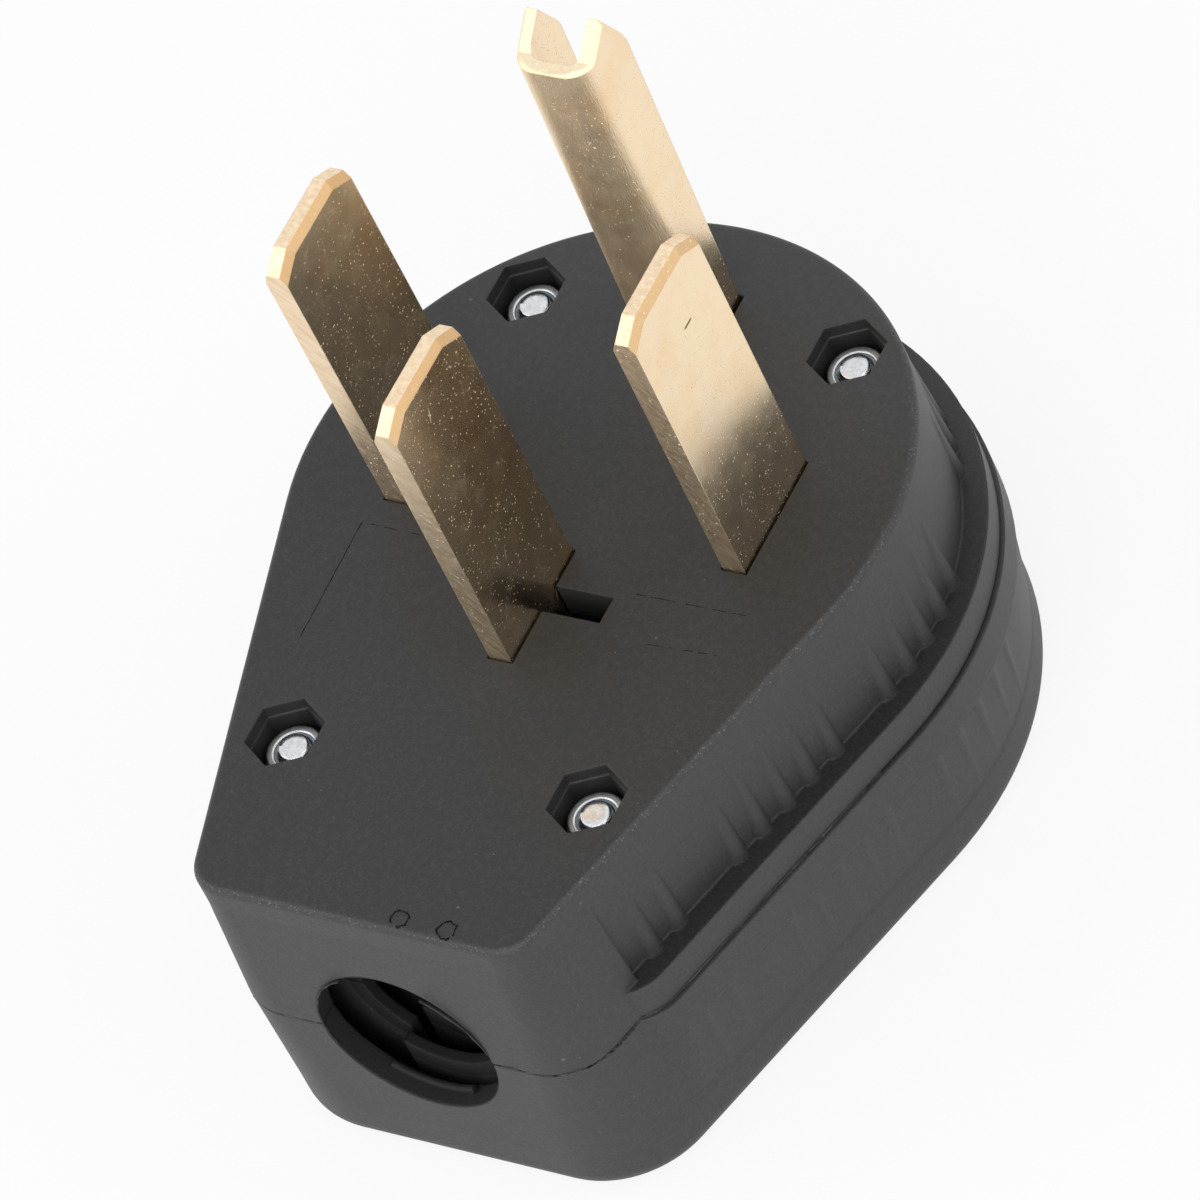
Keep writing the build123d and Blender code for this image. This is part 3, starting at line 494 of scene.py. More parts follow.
def make_worn_edges():
    """Softly rounded normal, and a mask that is 1 on corners and edges, broken up by noise."""
    group, given, result = effect(
        "Worn Edges",
        (("Vector", "NodeSocketVector", None), ("Radius", "NodeSocketFloat", 0.3 * MM),
         ("Breakup", "NodeSocketFloat", 0.5)),
        (("Mask", "NodeSocketFloat"), ("Rounded Normal", "NodeSocketVector")),
    )
    bevel = group.nodes.new("ShaderNodeBevel")
    bevel.samples = 4
    feed(group, given["Radius"], bevel.inputs["Radius"])
    geometry = group.nodes.new("ShaderNodeNewGeometry")
    facing = group.nodes.new("ShaderNodeVectorMath")
    facing.operation = "DOT_PRODUCT"
    feed(group, bevel.outputs[0], facing.inputs[0])
    feed(group, geometry.outputs["Normal"], facing.inputs[1])
    edge = remap(group, facing.outputs["Value"], *EDGE_TURN)
    grain = noise_value(group, given["Vector"], WEAR_SCALE, 3.0, 0.7)
    gaps = calculate(group, "SUBTRACT", remap(group, grain, *WEAR_RANGE), 1.0)
    weakened = with_share(group, gaps, given["Breakup"], 1.0)
    feed(group, calculate(group, "MULTIPLY", edge, weakened, clamp=True), result["Mask"])
    feed(group, bevel.outputs[0], result["Rounded Normal"])
    return group


def make_drawn_streaks():
    """Streaks across a sheared or brushed surface: narrow across and long along z."""
    group, given, result = effect(
        "Drawn Streaks",
        (("Vector", "NodeSocketVector", None), ("Across", "NodeSocketFloat", 0.15 * MM),
         ("Along", "NodeSocketFloat", 2.0 * MM)),
        (("Height", "NodeSocketFloat"), ("Tone", "NodeSocketFloat")),
    )
    across = calculate(group, "DIVIDE", 1.0, given["Across"])
    along = calculate(group, "DIVIDE", 1.0, given["Along"])
    drawn = scaled_vector(group, given["Vector"], (across, across, along))
    feed(group, noise_value(group, drawn, 1.0, 3.0, 0.6), result["Height"])
    broad = noise_value(group, drawn, STREAK_TONE_SCALE, 3.0, 0.6)
    feed(group, remap(group, broad, *MID_NOISE), result["Tone"])
    return group


EFFECTS = {
    "grain": make_moulded_grain(),
    "specks": make_sparse_specks(),
    "scratches": make_hairline_scratches(),
    "edges": make_worn_edges(),
    "streaks": make_drawn_streaks(),
}


def place_effect(tree, key, where, values):
    """Puts a shared effect in a material with the material's own values; returns its outputs."""
    node = tree.nodes.new("ShaderNodeGroup")
    node.node_tree = EFFECTS[key]
    feed(tree, where, node.inputs["Vector"])
    for label, value in values.items():
        feed(tree, value, node.inputs[label])
    return node.outputs


def blank_material(name, metallic=0.0):
    """Material with one Principled shader; returns it, its tree and the shader's inputs."""
    material = bpy.data.materials.new(name)
    material.use_nodes = True
    tree = material.node_tree
    shader = tree.nodes["Principled BSDF"]
    shader.inputs["Metallic"].default_value = metallic
    return material, tree, shader.inputs


def bumped_normal(tree, height, depth, rounded):
    """Normal with a fine relief over the softly rounded edges."""
    bump = tree.nodes.new("ShaderNodeBump")
    bump.inputs["Distance"].default_value = depth
    feed(tree, height, bump.inputs["Height"])
    if rounded is not None:
        feed(tree, rounded, bump.inputs["Normal"])
    return bump.outputs[0]


# Finishes
def mouth_shade(tree, place):
    """Mask of the walls inside the cable mouth, which get painted shade; place holds the three
    coordinates.
    """
    up = calculate(tree, "SUBTRACT", place[2], PARTING_Z)
    square = calculate(tree, "MULTIPLY_ADD", up, up, times(tree, place[0], place[0]))
    wall, clear = MOUTH_SKIN
    inside = remap(tree, calculate(tree, "SQRT", square), MOUTH_RADIUS + wall, MOUTH_RADIUS + clear)
    behind = remap(tree, place[1], MOUTH_Y + MOUTH_EDGE[0], MOUTH_Y + MOUTH_EDGE[1])
    near = calculate(tree, "LESS_THAN", place[1], MOUTH_Y + MOUTH_DEPTH)
    return times(tree, times(tree, inside, behind), near)


def recess_shade(tree, place, upright):
    """Mask of the upright walls of the nut pockets and the spare slot, which get painted shade."""
    fold = tree.nodes.new("ShaderNodeCombineXYZ")
    feed(tree, calculate(tree, "ABSOLUTE", place[0]), fold.inputs[0])
    feed(tree, place[1], fold.inputs[1])
    across = calculate(tree, "COMPARE", place[0], SLOT_MIDDLE[0], SLOT_HALF[0])
    along = calculate(tree, "COMPARE", place[1], SLOT_MIDDLE[1], SLOT_HALF[1])
    near = times(tree, across, along)
    for centre in POCKETS:
        node = tree.nodes.new("ShaderNodeVectorMath")
        node.operation = "DISTANCE"
        feed(tree, fold.outputs[0], node.inputs[0])
        feed(tree, centre, node.inputs[1])
        inside = calculate(tree, "LESS_THAN", node.outputs["Value"], POCKET_REACH)
        near = higher(tree, near, inside)
    return times(tree, near, calculate(tree, "LESS_THAN", upright, UPRIGHT_LIMIT))


def blade_gouge(tree, where):
    """Mask of one short gouge high on the right blade."""
    parts = tree.nodes.new("ShaderNodeSeparateXYZ")
    feed(tree, where, parts.inputs[0])
    across = calculate(tree, "ABSOLUTE", calculate(tree, "SUBTRACT", parts.outputs[1], GOUGE_MIDDLE[0]))
    up = calculate(tree, "ABSOLUTE", calculate(tree, "SUBTRACT", parts.outputs[2], GOUGE_MIDDLE[1]))
    long = remap(tree, across, GOUGE_HALF[0], 0.6 * GOUGE_HALF[0])
    thin = remap(tree, up, GOUGE_HALF[1], 0.4 * GOUGE_HALF[1])
    right = calculate(tree, "GREATER_THAN", parts.outputs[0], GOUGE_X)
    return times(tree, times(tree, long, thin), right)


def moulded_plastic(name, shaded_top_colour, lit_wall_colour, grain_depth, top_grain=0.5, gloss=0.5):
    """Dark moulded plastic: eroded grain on the walls, smoother on top, light dust and rubbed edges. The
    top is painted darker than the walls as painted shade and light, and the cable mouth, nut pockets and
    spare slot get painted shade.
    """
    material, tree, shader = blank_material(name)
    shader["Specular IOR Level"].default_value = gloss
    where = object_coordinates(tree)
    grain = place_effect(tree, "grain", where, PLASTIC_GRAIN)
    edges = place_effect(tree, "edges", where, PLASTIC_EDGES)
    crumbs = place_effect(tree, "specks", where, CRUMBS)
    dust = place_effect(tree, "specks", where, MOTES)
    lint = place_effect(tree, "specks", where, LINT)
    upright = normal_part(tree, 2)
    top = remap(tree, upright, *TOP_RANGE)
    parts = tree.nodes.new("ShaderNodeSeparateXYZ")
    feed(tree, where, parts.inputs[0])

    paler = times(tree, remap(tree, parts.outputs[1], *FADE_RANGE), FADE_SHARE)
    faded = blend_colour(tree, paler, shaded_top_colour, WHITE)
    # Painted shade and light: upward-facing surfaces get the darker top colour and the walls the lighter
    # wall colour
    colour = blend_colour(tree, top, lit_wall_colour, faded)
    light = blend_colour(tree, LIGHTER_SHARE, colour, WHITE)
    dull = blend_colour(tree, DULLER_SHARE, colour, BLACK)
    clouded = blend_colour(tree, remap(tree, grain["Cloud"], *MID_NOISE), dull, colour)
    fleck = remap(tree, grain["Height"], *FLECK_RANGE, 0.0, FLECK_SHARE)
    speckled = blend_colour(tree, fleck, clouded, light)
    rubbed = blend_colour(tree, times(tree, edges["Mask"], RUBBED_SHARE), speckled, light)

    rounded = calculate(tree, "SUBTRACT", remap(tree, upright, *ROUNDED_RANGE), top)
    rim = times(tree, rounded, remap(tree, parts.outputs[2], *FACE_EDGE))
    burrs = times(tree, times(tree, crumbs["Mask"], rim), CRUMB_SHARE)
    motes = higher(tree, times(tree, dust["Mask"], MOTE_SHARE), times(tree, lint["Mask"], LINT_SHARE))
    dusty = blend_colour(tree, higher(tree, motes, burrs), rubbed, DUST)
    recess = times(tree, recess_shade(tree, parts.outputs, upright), RECESS_SHARE)
    # Painted shade: the walls inside the cable mouth and the upright walls of the nut pockets and spare
    # slot are darkened towards black and made rougher
    painted_shade = higher(tree, mouth_shade(tree, parts.outputs), recess)
    shaded_colour = blend_colour(tree, times(tree, painted_shade, PAINTED_SHADE_SHARE), dusty, BLACK)
    feed(tree, shaded_colour, shader["Base Color"])

    rough = remap(tree, grain["Cloud"], 0.25, 0.75, *PLASTIC_ROUGH)
    worn = with_share(tree, edges["Mask"], RUBBED_ROUGH, rough)
    feed(tree, with_share(tree, painted_shade, SHADE_ROUGH, worn), shader["Roughness"])
    strength = remap(tree, top, 0.0, 1.0, 1.0, top_grain)
    relief = times(tree, grain["Height"], strength)
    feed(tree, bumped_normal(tree, relief, grain_depth, edges["Rounded Normal"]), shader["Normal"])
    return material


def sheet_brass(name, axis, cut_range, strip_range, cuts, end_on_rough=0.0, drawn=0.0, lean=0.0):
    """Rolled brass with pits and hairlines; cut faces and bevels, told by the normal, are rougher."""
    material, tree, shader = blank_material(name, metallic=1.0)
    where = object_coordinates(tree)
    facing = normal_part(tree, axis)
    cut = remap(tree, facing, *cut_range)
    strip = times(tree, remap(tree, facing, *strip_range), cut)
    end_on = remap(tree, normal_part(tree, 1), *END_ON_RANGE)
    patches = remap(tree, noise_value(tree, where, *PIT_PATCHES), *PIT_PATCH_RANGE, *PIT_SHARES)
    pits = place_effect(tree, "specks", where, {**PITS, "Share": patches})
    dents = place_effect(tree, "specks", where, DENTS)
    hairs = place_effect(tree, "scratches", where, HAIRLINES)
    nicks = place_effect(tree, "scratches", where, NICKS)
    streaks = place_effect(tree, "streaks", turned(tree, where, (0.0, lean, 0.0)), CUT_STREAKS)
    edges = place_effect(tree, "edges", where, BRASS_EDGES)
    specks = higher(tree, pits["Mask"], dents["Mask"])
    lines = higher(tree, hairs["Mask"], nicks["Mask"])
    gouge = blade_gouge(tree, where)

    stain = remap(tree, noise_value(tree, where, *STAINS), *STAIN_RANGE)
    rolled = blend_colour(tree, times(tree, stain, STAIN_SHARE), ROLLED_BRASS, TARNISHED_BRASS)
    sheared = blend_colour(tree, streaks["Tone"], cuts[0], cuts[1])
    trimmed = blend_colour(tree, times(tree, strip, BEVEL_SHARE), sheared, cuts[2])
    body = blend_colour(tree, cut, rolled, trimmed)
    dotted = blend_colour(tree, higher(tree, specks, lines), body, PIT_BRASS)
    marred = blend_colour(tree, gouge, dotted, GOUGED_BRASS)

    # The light that brass throws on the plastic is greyed, so that the face stays neutral beside it.
    path = tree.nodes.new("ShaderNodeLightPath")
    glossy = times(tree, path.outputs["Is Glossy Ray"], BOUNCED_GLOSS)
    greyed = higher(tree, path.outputs["Is Diffuse Ray"], glossy)
    feed(tree, blend_colour(tree, greyed, marred, BOUNCED_BRASS), shader["Base Color"])

    haze = remap(tree, noise_value(tree, where, *HAZE), *MID_NOISE, *HAZE_ROUGH)
    cut_rough = remap(tree, streaks["Height"], *MID_NOISE, *CUT_ROUGH)
    span = times(tree, cut, calculate(tree, "SUBTRACT", cut_rough, haze))
    rough = with_share(tree, end_on, end_on_rough, calculate(tree, "ADD", haze, span))
    scored = with_share(tree, lines, LINE_ROUGH, rough)
    marked = with_share(tree, specks, SPECK_ROUGH, scored)
    worn = calculate(tree, "MULTIPLY_ADD", edges["Mask"], WORN_ROUGH, marked, clamp=True)
    feed(tree, worn, shader["Roughness"])

    sunk = with_share(tree, gouge, GOUGE_RELIEF, times(tree, lines, LINE_RELIEF))
    relief = with_share(tree, specks, SPECK_RELIEF, sunk)
    fine = with_share(tree, noise_value(tree, where, *FINE_RELIEF), FINE_SHARE, relief)
    worked = higher(tree, cut, with_share(tree, end_on, drawn, END_ON_CHATTER * drawn))
    chatter = times(tree, times(tree, streaks["Height"], worked), CHATTER_SHARE)
    height = calculate(tree, "ADD", fine, chatter)
    feed(tree, bumped_normal(tree, height, BRASS_RELIEF, edges["Rounded Normal"]), shader["Normal"])
    return material


def plated_steel(name, colour, dull, roughness):
    """Zinc-plated steel: clouded crystals of plating, tool marks and dull spots."""
    material, tree, shader = blank_material(name, metallic=1.0)
    where = object_coordinates(tree)
    specks = place_effect(tree, "specks", where, PLATING_SPOTS)
    edges = place_effect(tree, "edges", where, PLATED_EDGES)
    plate = remap(tree, noise_value(tree, where, *PLATING), *PLATING_RANGE)
    tone = blend_colour(tree, plate, dull, colour)
    spotted = blend_colour(tree, times(tree, specks["Mask"], SPOT_SHARE), tone, dull)
    rubbed = blend_colour(tree, times(tree, edges["Mask"], BRIGHT_EDGE_SHARE), spotted, RUBBED_ZINC)
    feed(tree, rubbed, shader["Base Color"])
    rough = with_share(tree, plate, PLATING_SHEEN, roughness + PLATING_ROUGH)
    feed(tree, rough, shader["Roughness"])
    relief = with_share(tree, specks["Mask"], -SPOT_SHARE, noise_value(tree, where, *TOOLING))
    feed(tree, bumped_normal(tree, relief, PLATING_RELIEF, edges["Rounded Normal"]), shader["Normal"])
    return material


def nylon_finish(name):
    """Natural nylon: slightly waxy, with faint clouding."""
    material, tree, shader = blank_material(name)
    where = object_coordinates(tree)
    grain = place_effect(tree, "grain", where, NYLON_GRAIN)
    clouded = blend_colour(tree, remap(tree, grain["Cloud"], *MID_NOISE), NYLON, NYLON_PALE)
    feed(tree, clouded, shader["Base Color"])
    feed(tree, remap(tree, grain["Height"], 0.5, 1.1, *NYLON_ROUGH), shader["Roughness"])
    feed(tree, bumped_normal(tree, grain["Height"], NYLON_RELIEF, None), shader["Normal"])
    return material


# For each plastic: colour on top and on the walls, the depth of its grain, and, where they aren't the
# usual ones, the share of the grain left on top and the gloss. For each brass: the axis whose normal
# tells the cut faces, the ranges for cut faces and bevels, the colours of both, and how rough, drawn and
# leaning the cut is. For each plated steel: its colour, its dull colour and its roughness.
BLADE_CUTS = (CUT_BRASS_DARK, CUT_BRASS, BEVEL_BRASS)
PIN_CUTS = (PIN_CUT_DARK, PIN_CUT, PIN_BEVEL)
BEVEL_RANGE = (0.45, 0.60)
PLASTICS = {
    # The face's darker top and lighter walls are painted shade and light on one plastic
    "face_plastic": (SHADED_FACE_TOP, LIT_WALL_PLASTIC, 0.030 * MM),
    "rear_plastic": (LIT_WALL_PLASTIC, LIT_WALL_PLASTIC, 0.032 * MM, 1.0),
    "retainer_plastic": (INNER_PLASTIC, INNER_PLASTIC, 0.012 * MM),
    "torn_plastic": (TORN_PLASTIC, TORN_PLASTIC, 0.030 * MM, 1.0),
    "line_plastic": (GROOVE_SHADE_PLASTIC, GROOVE_SHADE_PLASTIC, 0.006 * MM, 0.5, 0.12),
}
BRASSES = {
    "blade_brass": (0, (0.975, 0.900), BEVEL_RANGE, BLADE_CUTS, 0.04, 0.0, 0.75),
    "pin_brass": (2, (0.22, 0.40), (0.88, 0.78), PIN_CUTS, 0.16, 1.2),
    "clamp_brass": (2, (0.97, 0.90), BEVEL_RANGE, BLADE_CUTS),
}
PLATED = {
    "bright_zinc": (ZINC, ZINC_DULL, 0.20),
    "collar_zinc": (COLLAR_ZINC, ZINC_DARK, 0.40),
    "terminal_zinc": (ZINC_DULL, ZINC_DARK, 0.30),
}
FINISHES = {name: moulded_plastic(name, *values) for name, values in PLASTICS.items()}
FINISHES.update({name: sheet_brass(name, *values) for name, values in BRASSES.items()})
FINISHES.update({name: plated_steel(name, *values) for name, values in PLATED.items()})
FINISHES["nylon"] = nylon_finish("nylon")

NODE_FINISHES = {
    "face_shell": "face_plastic",
    "rear_shell": "rear_plastic",
    "left_hot_blade": "blade_brass",
    "right_hot_blade": "blade_brass",
    "neutral_blade": "blade_brass",
    "ground_pin": "pin_brass",
    "left_hot_clamp": "clamp_brass",
    "right_hot_clamp": "clamp_brass",
    "neutral_clamp": "clamp_brass",
    "ground_clamp": "clamp_brass",
    "left_hot_terminal_screw": "terminal_zinc",
    "right_hot_terminal_screw": "terminal_zinc",
    "neutral_terminal_screw": "terminal_zinc",
    "ground_terminal_screw": "terminal_zinc",
    "terminal_nuts": "terminal_zinc",
    "assembly_screws": "bright_zinc",
    "lock_nuts": "bright_zinc",
    "nut_inserts": "nylon",
    "blade_retainer": "retainer_plastic",
    "retainer_screws": "bright_zinc",
}

for node_name, finish in NODE_FINISHES.items():
    node_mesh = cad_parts[node_name].data
    node_mesh.materials.clear()
    node_mesh.materials.append(FINISHES[finish])


# Mesh helpers
def make_piece(name, mesh_data, finishes, sharp_angle=32.0):
    """Object from a bmesh, smooth but for its sharp edges, riding on the plug."""
    bmesh.ops.recalc_face_normals(mesh_data, faces=mesh_data.faces)
    for edge in mesh_data.edges:
        edge.smooth = edge.calc_face_angle(math.pi) < math.radians(sharp_angle)
    for face in mesh_data.faces:
        face.smooth = True
    mesh = bpy.data.meshes.new(name)
    mesh_data.to_mesh(mesh)
    mesh_data.free()
    for finish in finishes:
        mesh.materials.append(FINISHES[finish])
    piece = bpy.data.objects.new(name, mesh)
    bpy.context.scene.collection.objects.link(piece)
    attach(piece, "root")
    return piece


def spin_rings(mesh_data, axis_place, rings, closed, highlight_strips=()):
    """Skin over rings about an upright axis; a ring is a height and a radius, or a radius by angle.

    The strips numbered in the last argument get the piece's second finish; on the lock nuts that finish
    is a painted highlight."""
    angles = [2 * math.pi * i / SEGMENTS for i in range(SEGMENTS)]
    loops = []
    for z, radius in rings:
        loop = []
        for angle in angles:
            reach = radius(angle) if callable(radius) else radius
            loop.append(mesh_data.verts.new((axis_place.x + reach * math.cos(angle),
                                             axis_place.y + reach * math.sin(angle), z)))
        loops.append(loop)
    pairs = list(zip(loops, loops[1:]))
    if closed:
        pairs.append((loops[-1], loops[0]))
    for strip, (low, high) in enumerate(pairs):
        for i in range(SEGMENTS):
            j = (i + 1) % SEGMENTS
            face = mesh_data.faces.new((low[i], low[j], high[j], high[i]))
            face.material_index = int(strip in highlight_strips)
    if not closed:
        mesh_data.faces.new(loops[0])
        mesh_data.faces.new(loops[-1])


def skin_run(mesh_data, rings):
    """Closed skin over a run of rings of points, capped at both ends; a lone ring is left out."""
    if len(rings) < 2:
        return
    loops = [[mesh_data.verts.new(point) for point in ring] for ring in rings]
    for low, high in zip(loops, loops[1:]):
        for j in range(len(low)):
            k = (j + 1) % len(low)
            mesh_data.faces.new((low[j], low[k], high[k], high[j]))
    mesh_data.faces.new(loops[0])
    mesh_data.faces.new(loops[-1])


def corner_points(node):
    """A node's vertices, parted by the quarter of the plug that they lie in."""
    quarters = {}
    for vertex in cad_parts[node].data.vertices:
        quarters.setdefault((vertex.co.x > 0, vertex.co.y > 0), []).append(vertex.co.copy())
    return [quarters[key] for key in sorted(quarters)]


def axis_of(points):
    """Upright axis in the middle of the points."""
    xs = [point.x for point in points]
    ys = [point.y for point in points]
    return Vector(((min(xs) + max(xs)) / 2, (min(ys) + max(ys)) / 2, 0.0))


def levels_of(points, axis_place):
    """The heights at which the points lie, each with the greatest radius there, from low to high."""
    levels = {}
    for point in points:
        z = round(point.z / MM, 2)
        radius = math.hypot(point.x - axis_place.x, point.y - axis_place.y)
        levels[z] = max(levels.get(z, 0.0), radius)
    return [(z * MM, levels[z]) for z in sorted(levels)]


# Lock nuts: a chamfered hexagon with a collar rolled over its nylon ring, the collar's inner rim
# brighter as a painted highlight
def hexagon_reach(across_flats, angle):
    """Distance from the axis to a hexagon's side, with two of its corners along y."""
    turn = (angle + math.pi / 6) % (math.pi / 3) - math.pi / 6
    return across_flats / 2 / math.cos(turn)


def lock_nut(index, points):
    """One lock nut in the place of the solid one."""
    axis_place = axis_of(points)
    levels = levels_of(points, axis_place)
    seat_z, corner = levels[0]
    top_z = max(z for z, radius in levels if radius > WIDEST_SHARE * corner)
    lip_z, collar = levels[-1]
    across = corner * math.sqrt(3)
    flat = across / 2

    def limited(limit):
        return lambda angle: min(hexagon_reach(across, angle), limit)

    chamfer = (corner - flat) * math.tan(math.radians(NUT_CHAMFER_TURN))
    steps = [i / NUT_CHAMFER_STEPS for i in range(NUT_CHAMFER_STEPS + 1)]
    rings = [(seat_z, NUT_BORE)]
    chamfers = [(step * chamfer, limited(flat + step * (corner - flat))) for step in steps]
    rings += [(seat_z + height, reach) for height, reach in chamfers]
    rings += [(top_z - height, reach) for height, reach in reversed(chamfers)]
    rings += [(top_z, collar + COLLAR_FOOT), (top_z + COLLAR_FOOT, collar)]
    for turn in ROLLED_TURNS:
        rings.append((lip_z - COLLAR_ROLL * (1 - math.sin(turn)),
                      collar - COLLAR_ROLL * (1 - math.cos(turn))))
    # The collar's inner rim gets the brighter zinc as a painted highlight. The rest of the nut gets the
    # darker collar zinc, partly a duller plating and partly a painted reflection of the dark pocket
    first_highlight = len(rings)
    rings += [(lip_z + drop, collar - COLLAR_LIP + out) for drop, out in COLLAR_RIM]
    wall = collar - COLLAR_WALL
    rings += [(lip_z - COLLAR_DEPTH, wall), (top_z, wall), (top_z, NUT_BORE)]
    mesh_data = bmesh.new()
    highlight_strips = range(first_highlight, first_highlight + len(COLLAR_RIM) - 1)
    spin_rings(mesh_data, axis_place, rings, closed=True, highlight_strips=highlight_strips)
    piece = make_piece(f"lock_nut_{index}", mesh_data, ("collar_zinc", "bright_zinc"))
    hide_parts("lock_nuts")


# Assembly screws: rounded plain head, plain shank and a threaded, bevelled end
def thread_ring(z, crest, phase):
    """Radius round a thread at one height: a sharp ridge that climbs one pitch a turn."""
    def reach(angle):
        along = ((z - phase) / THREAD_PITCH - angle / (2 * math.pi)) % 1.0
        return crest - THREAD_DEPTH * abs(2 * along - 1) ** THREAD_ROUNDING
    return reach


def screw_head(head_z, seat_z, head):
    """Rings of a crowned head with a rounded shoulder, from its top to its seat."""
    start, height_share, shoulder, swell = HEAD_ROUND
    round_height = height_share * (seat_z - head_z)
    rings = [(head_z + height, share * head) for height, share in HEAD_CROWN]
    for turn in ROLLED_TURNS:
        rings.append((head_z + start + round_height * (1 - math.cos(turn)),
                      head * (shoulder + swell * math.sin(turn))))
    rings += [(seat_z - HEAD_BEVEL, head), (seat_z, head - HEAD_BEVEL)]
    return rings


def assembly_screw(index, points):
    """One screw in the place of the solid one."""
    axis_place = axis_of(points)
    levels = levels_of(points, axis_place)
    head_z = levels[0][0]
    tip_z = levels[-1][0]
    head = max(radius for _, radius in levels)
    seat_z = max(z for z, radius in levels if radius > WIDEST_SHARE * head)
    bevel_z, crest = levels[-2]
    bevel = tip_z - bevel_z
    thread_z = tip_z - THREAD_LENGTH
    shank = crest - SHANK_SLACK
    rings = screw_head(head_z, seat_z, head)
    rings += [(seat_z, crest + SHANK_FILLET), (seat_z + SHANK_FILLET, shank),
              (thread_z - THREAD_RUNOUT, shank)]
    for i in range(round(THREAD_LENGTH / THREAD_PITCH * THREAD_STEPS)):
        z = thread_z + i * THREAD_PITCH / THREAD_STEPS
        if z > tip_z - THREAD_END_GAP:
            break
        ridge = thread_ring(z, crest, thread_z)
        limit = crest - SCREW_END_BEVEL * max(0.0, z - (tip_z - bevel)) / bevel
        rings.append((z, lambda angle, ridge=ridge, limit=limit: min(ridge(angle), limit)))
    end = crest - SCREW_END_BEVEL
    outer_share, inner_share, dish = SCREW_END_DISH
    rings += [(tip_z, end - SCREW_END_STEP), (tip_z, outer_share * end)]
    rings.append((tip_z - dish, inner_share * end))
    mesh_data = bmesh.new()
    spin_rings(mesh_data, axis_place, rings, closed=False)
    piece = make_piece(f"assembly_screw_{index}", mesh_data, ("bright_zinc",), 40.0)
    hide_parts("assembly_screws")


for number, quarter in enumerate(corner_points("lock_nuts"), start=1):
    lock_nut(number, quarter)

for number, quarter in enumerate(corner_points("assembly_screws"), start=1):
    assembly_screw(number, quarter)


# Surface of the face shell, for what sits on it
def shell_tree(node):
    """Search tree over a shell's triangles."""
    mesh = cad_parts[node].data
    return BVHTree.FromPolygons([vertex.co for vertex in mesh.vertices],
                                [polygon.vertices for polygon in mesh.polygons])


FACE_TREE = shell_tree("face_shell")
FACE_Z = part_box("face_shell")[1].z


def on_face(x, y):
    """Height of the face shell's surface at a place, seen from above."""
    hit = FACE_TREE.ray_cast(Vector((x, y, FACE_Z + 1 * MM)), Vector((0, 0, -1)))
    return hit[0].z if hit[0] else FACE_Z


# Witness lines of the mould's inserts: raised hairlines coloured near black as painted shade of the fine
# grooves
def face_line(index, start, end, strength):
    """Hairline on the face, broken here and there, near black as painted shade of a groove."""
    first = Vector((start[0] * MM, start[1] * MM, 0))
    last = Vector((end[0] * MM, end[1] * MM, 0))
    along = (last - first).normalized()
    side = Vector((-along.y, along.x, 0))
    count = max(2, round((last - first).length / LINE_STEP))
    mesh_data = bmesh.new()
    run = []
    for i in range(count + 1):
        place = first.lerp(last, i / count)
        sway = noise.noise(place * LINE_SWAY_SCALE + Vector((0, 0, index))) * LINE_SWAY
        level = noise.noise(place * LINE_LEVEL_SCALE + Vector((index, 0, 0)))
        if level < LINE_BREAK - strength:
            skin_run(mesh_data, run)
            run = []
            continue
        width = LINE_WIDTH * (0.55 + 0.45 * strength + 0.5 * level)
        height = LINE_HEIGHT * (0.8 + 0.5 * level)
        z = on_face(place.x, place.y)
        half = width / 2
        sunk = -LINE_HEIGHT / 2
        ring = []
        for offset, lift in ((-half, sunk), (0.0, height), (half, sunk)):
            spot = place + side * (sway + offset)
            ring.append((spot.x, spot.y, z + lift))
        run.append(ring)
    skin_run(mesh_data, run)
    make_piece(f"insert_line_{index}", mesh_data, ("line_plastic",))


for number, (start, end, strength) in enumerate(FACE_LINES, start=1):
    face_line(number, start, end, strength)


# Gate marks: ragged rings where the runners were torn off
def gate_mark(index, place, draw):
    """Broken ring of torn plastic near the face's front edge."""
    mesh_data = bmesh.new()
    middle_x = place[0] * MM
    middle_y = place[1] * MM
    run = []
    for i in range(GATE_STEPS + 1):
        angle = 2 * math.pi * i / GATE_STEPS
        across = math.cos(angle)
        along = math.sin(angle)
        torn = noise.noise(Vector((GATE_WAVES * across, GATE_WAVES * along, GATE_SEED * index)))
        if torn < GATE_BREAK:
            skin_run(mesh_data, run)
            run = []
            continue
        reach = GATE_RADIUS * (1 + GATE_SWAY * torn + draw.uniform(-GATE_JITTER, GATE_JITTER))
        centre = Vector((middle_x + reach * across, middle_y + reach * along, 0))
        outward = Vector((across, along, 0))
        half = GATE_RIDGE * (0.55 + 0.4 * torn)
        crest = GATE_RIDGE * (0.35 + 0.7 * abs(torn))
        ring = []
        for offset, lift in ((-half, -GATE_SINK), (0.0, crest), (half, -GATE_SINK)):
            spot = centre + outward * offset
            ring.append((spot.x, spot.y, on_face(spot.x, spot.y) + lift))
        run.append(ring)
    skin_run(mesh_data, run)
    # The rings take the near-black line finish, which on the witness lines is painted groove shade
    make_piece(f"gate_mark_{index}", mesh_data, ("line_plastic",))


ragged = random.Random(DRAW_SEED)
for number, place in enumerate(GATE_PLACES, start=1):
    gate_mark(number, place, ragged)


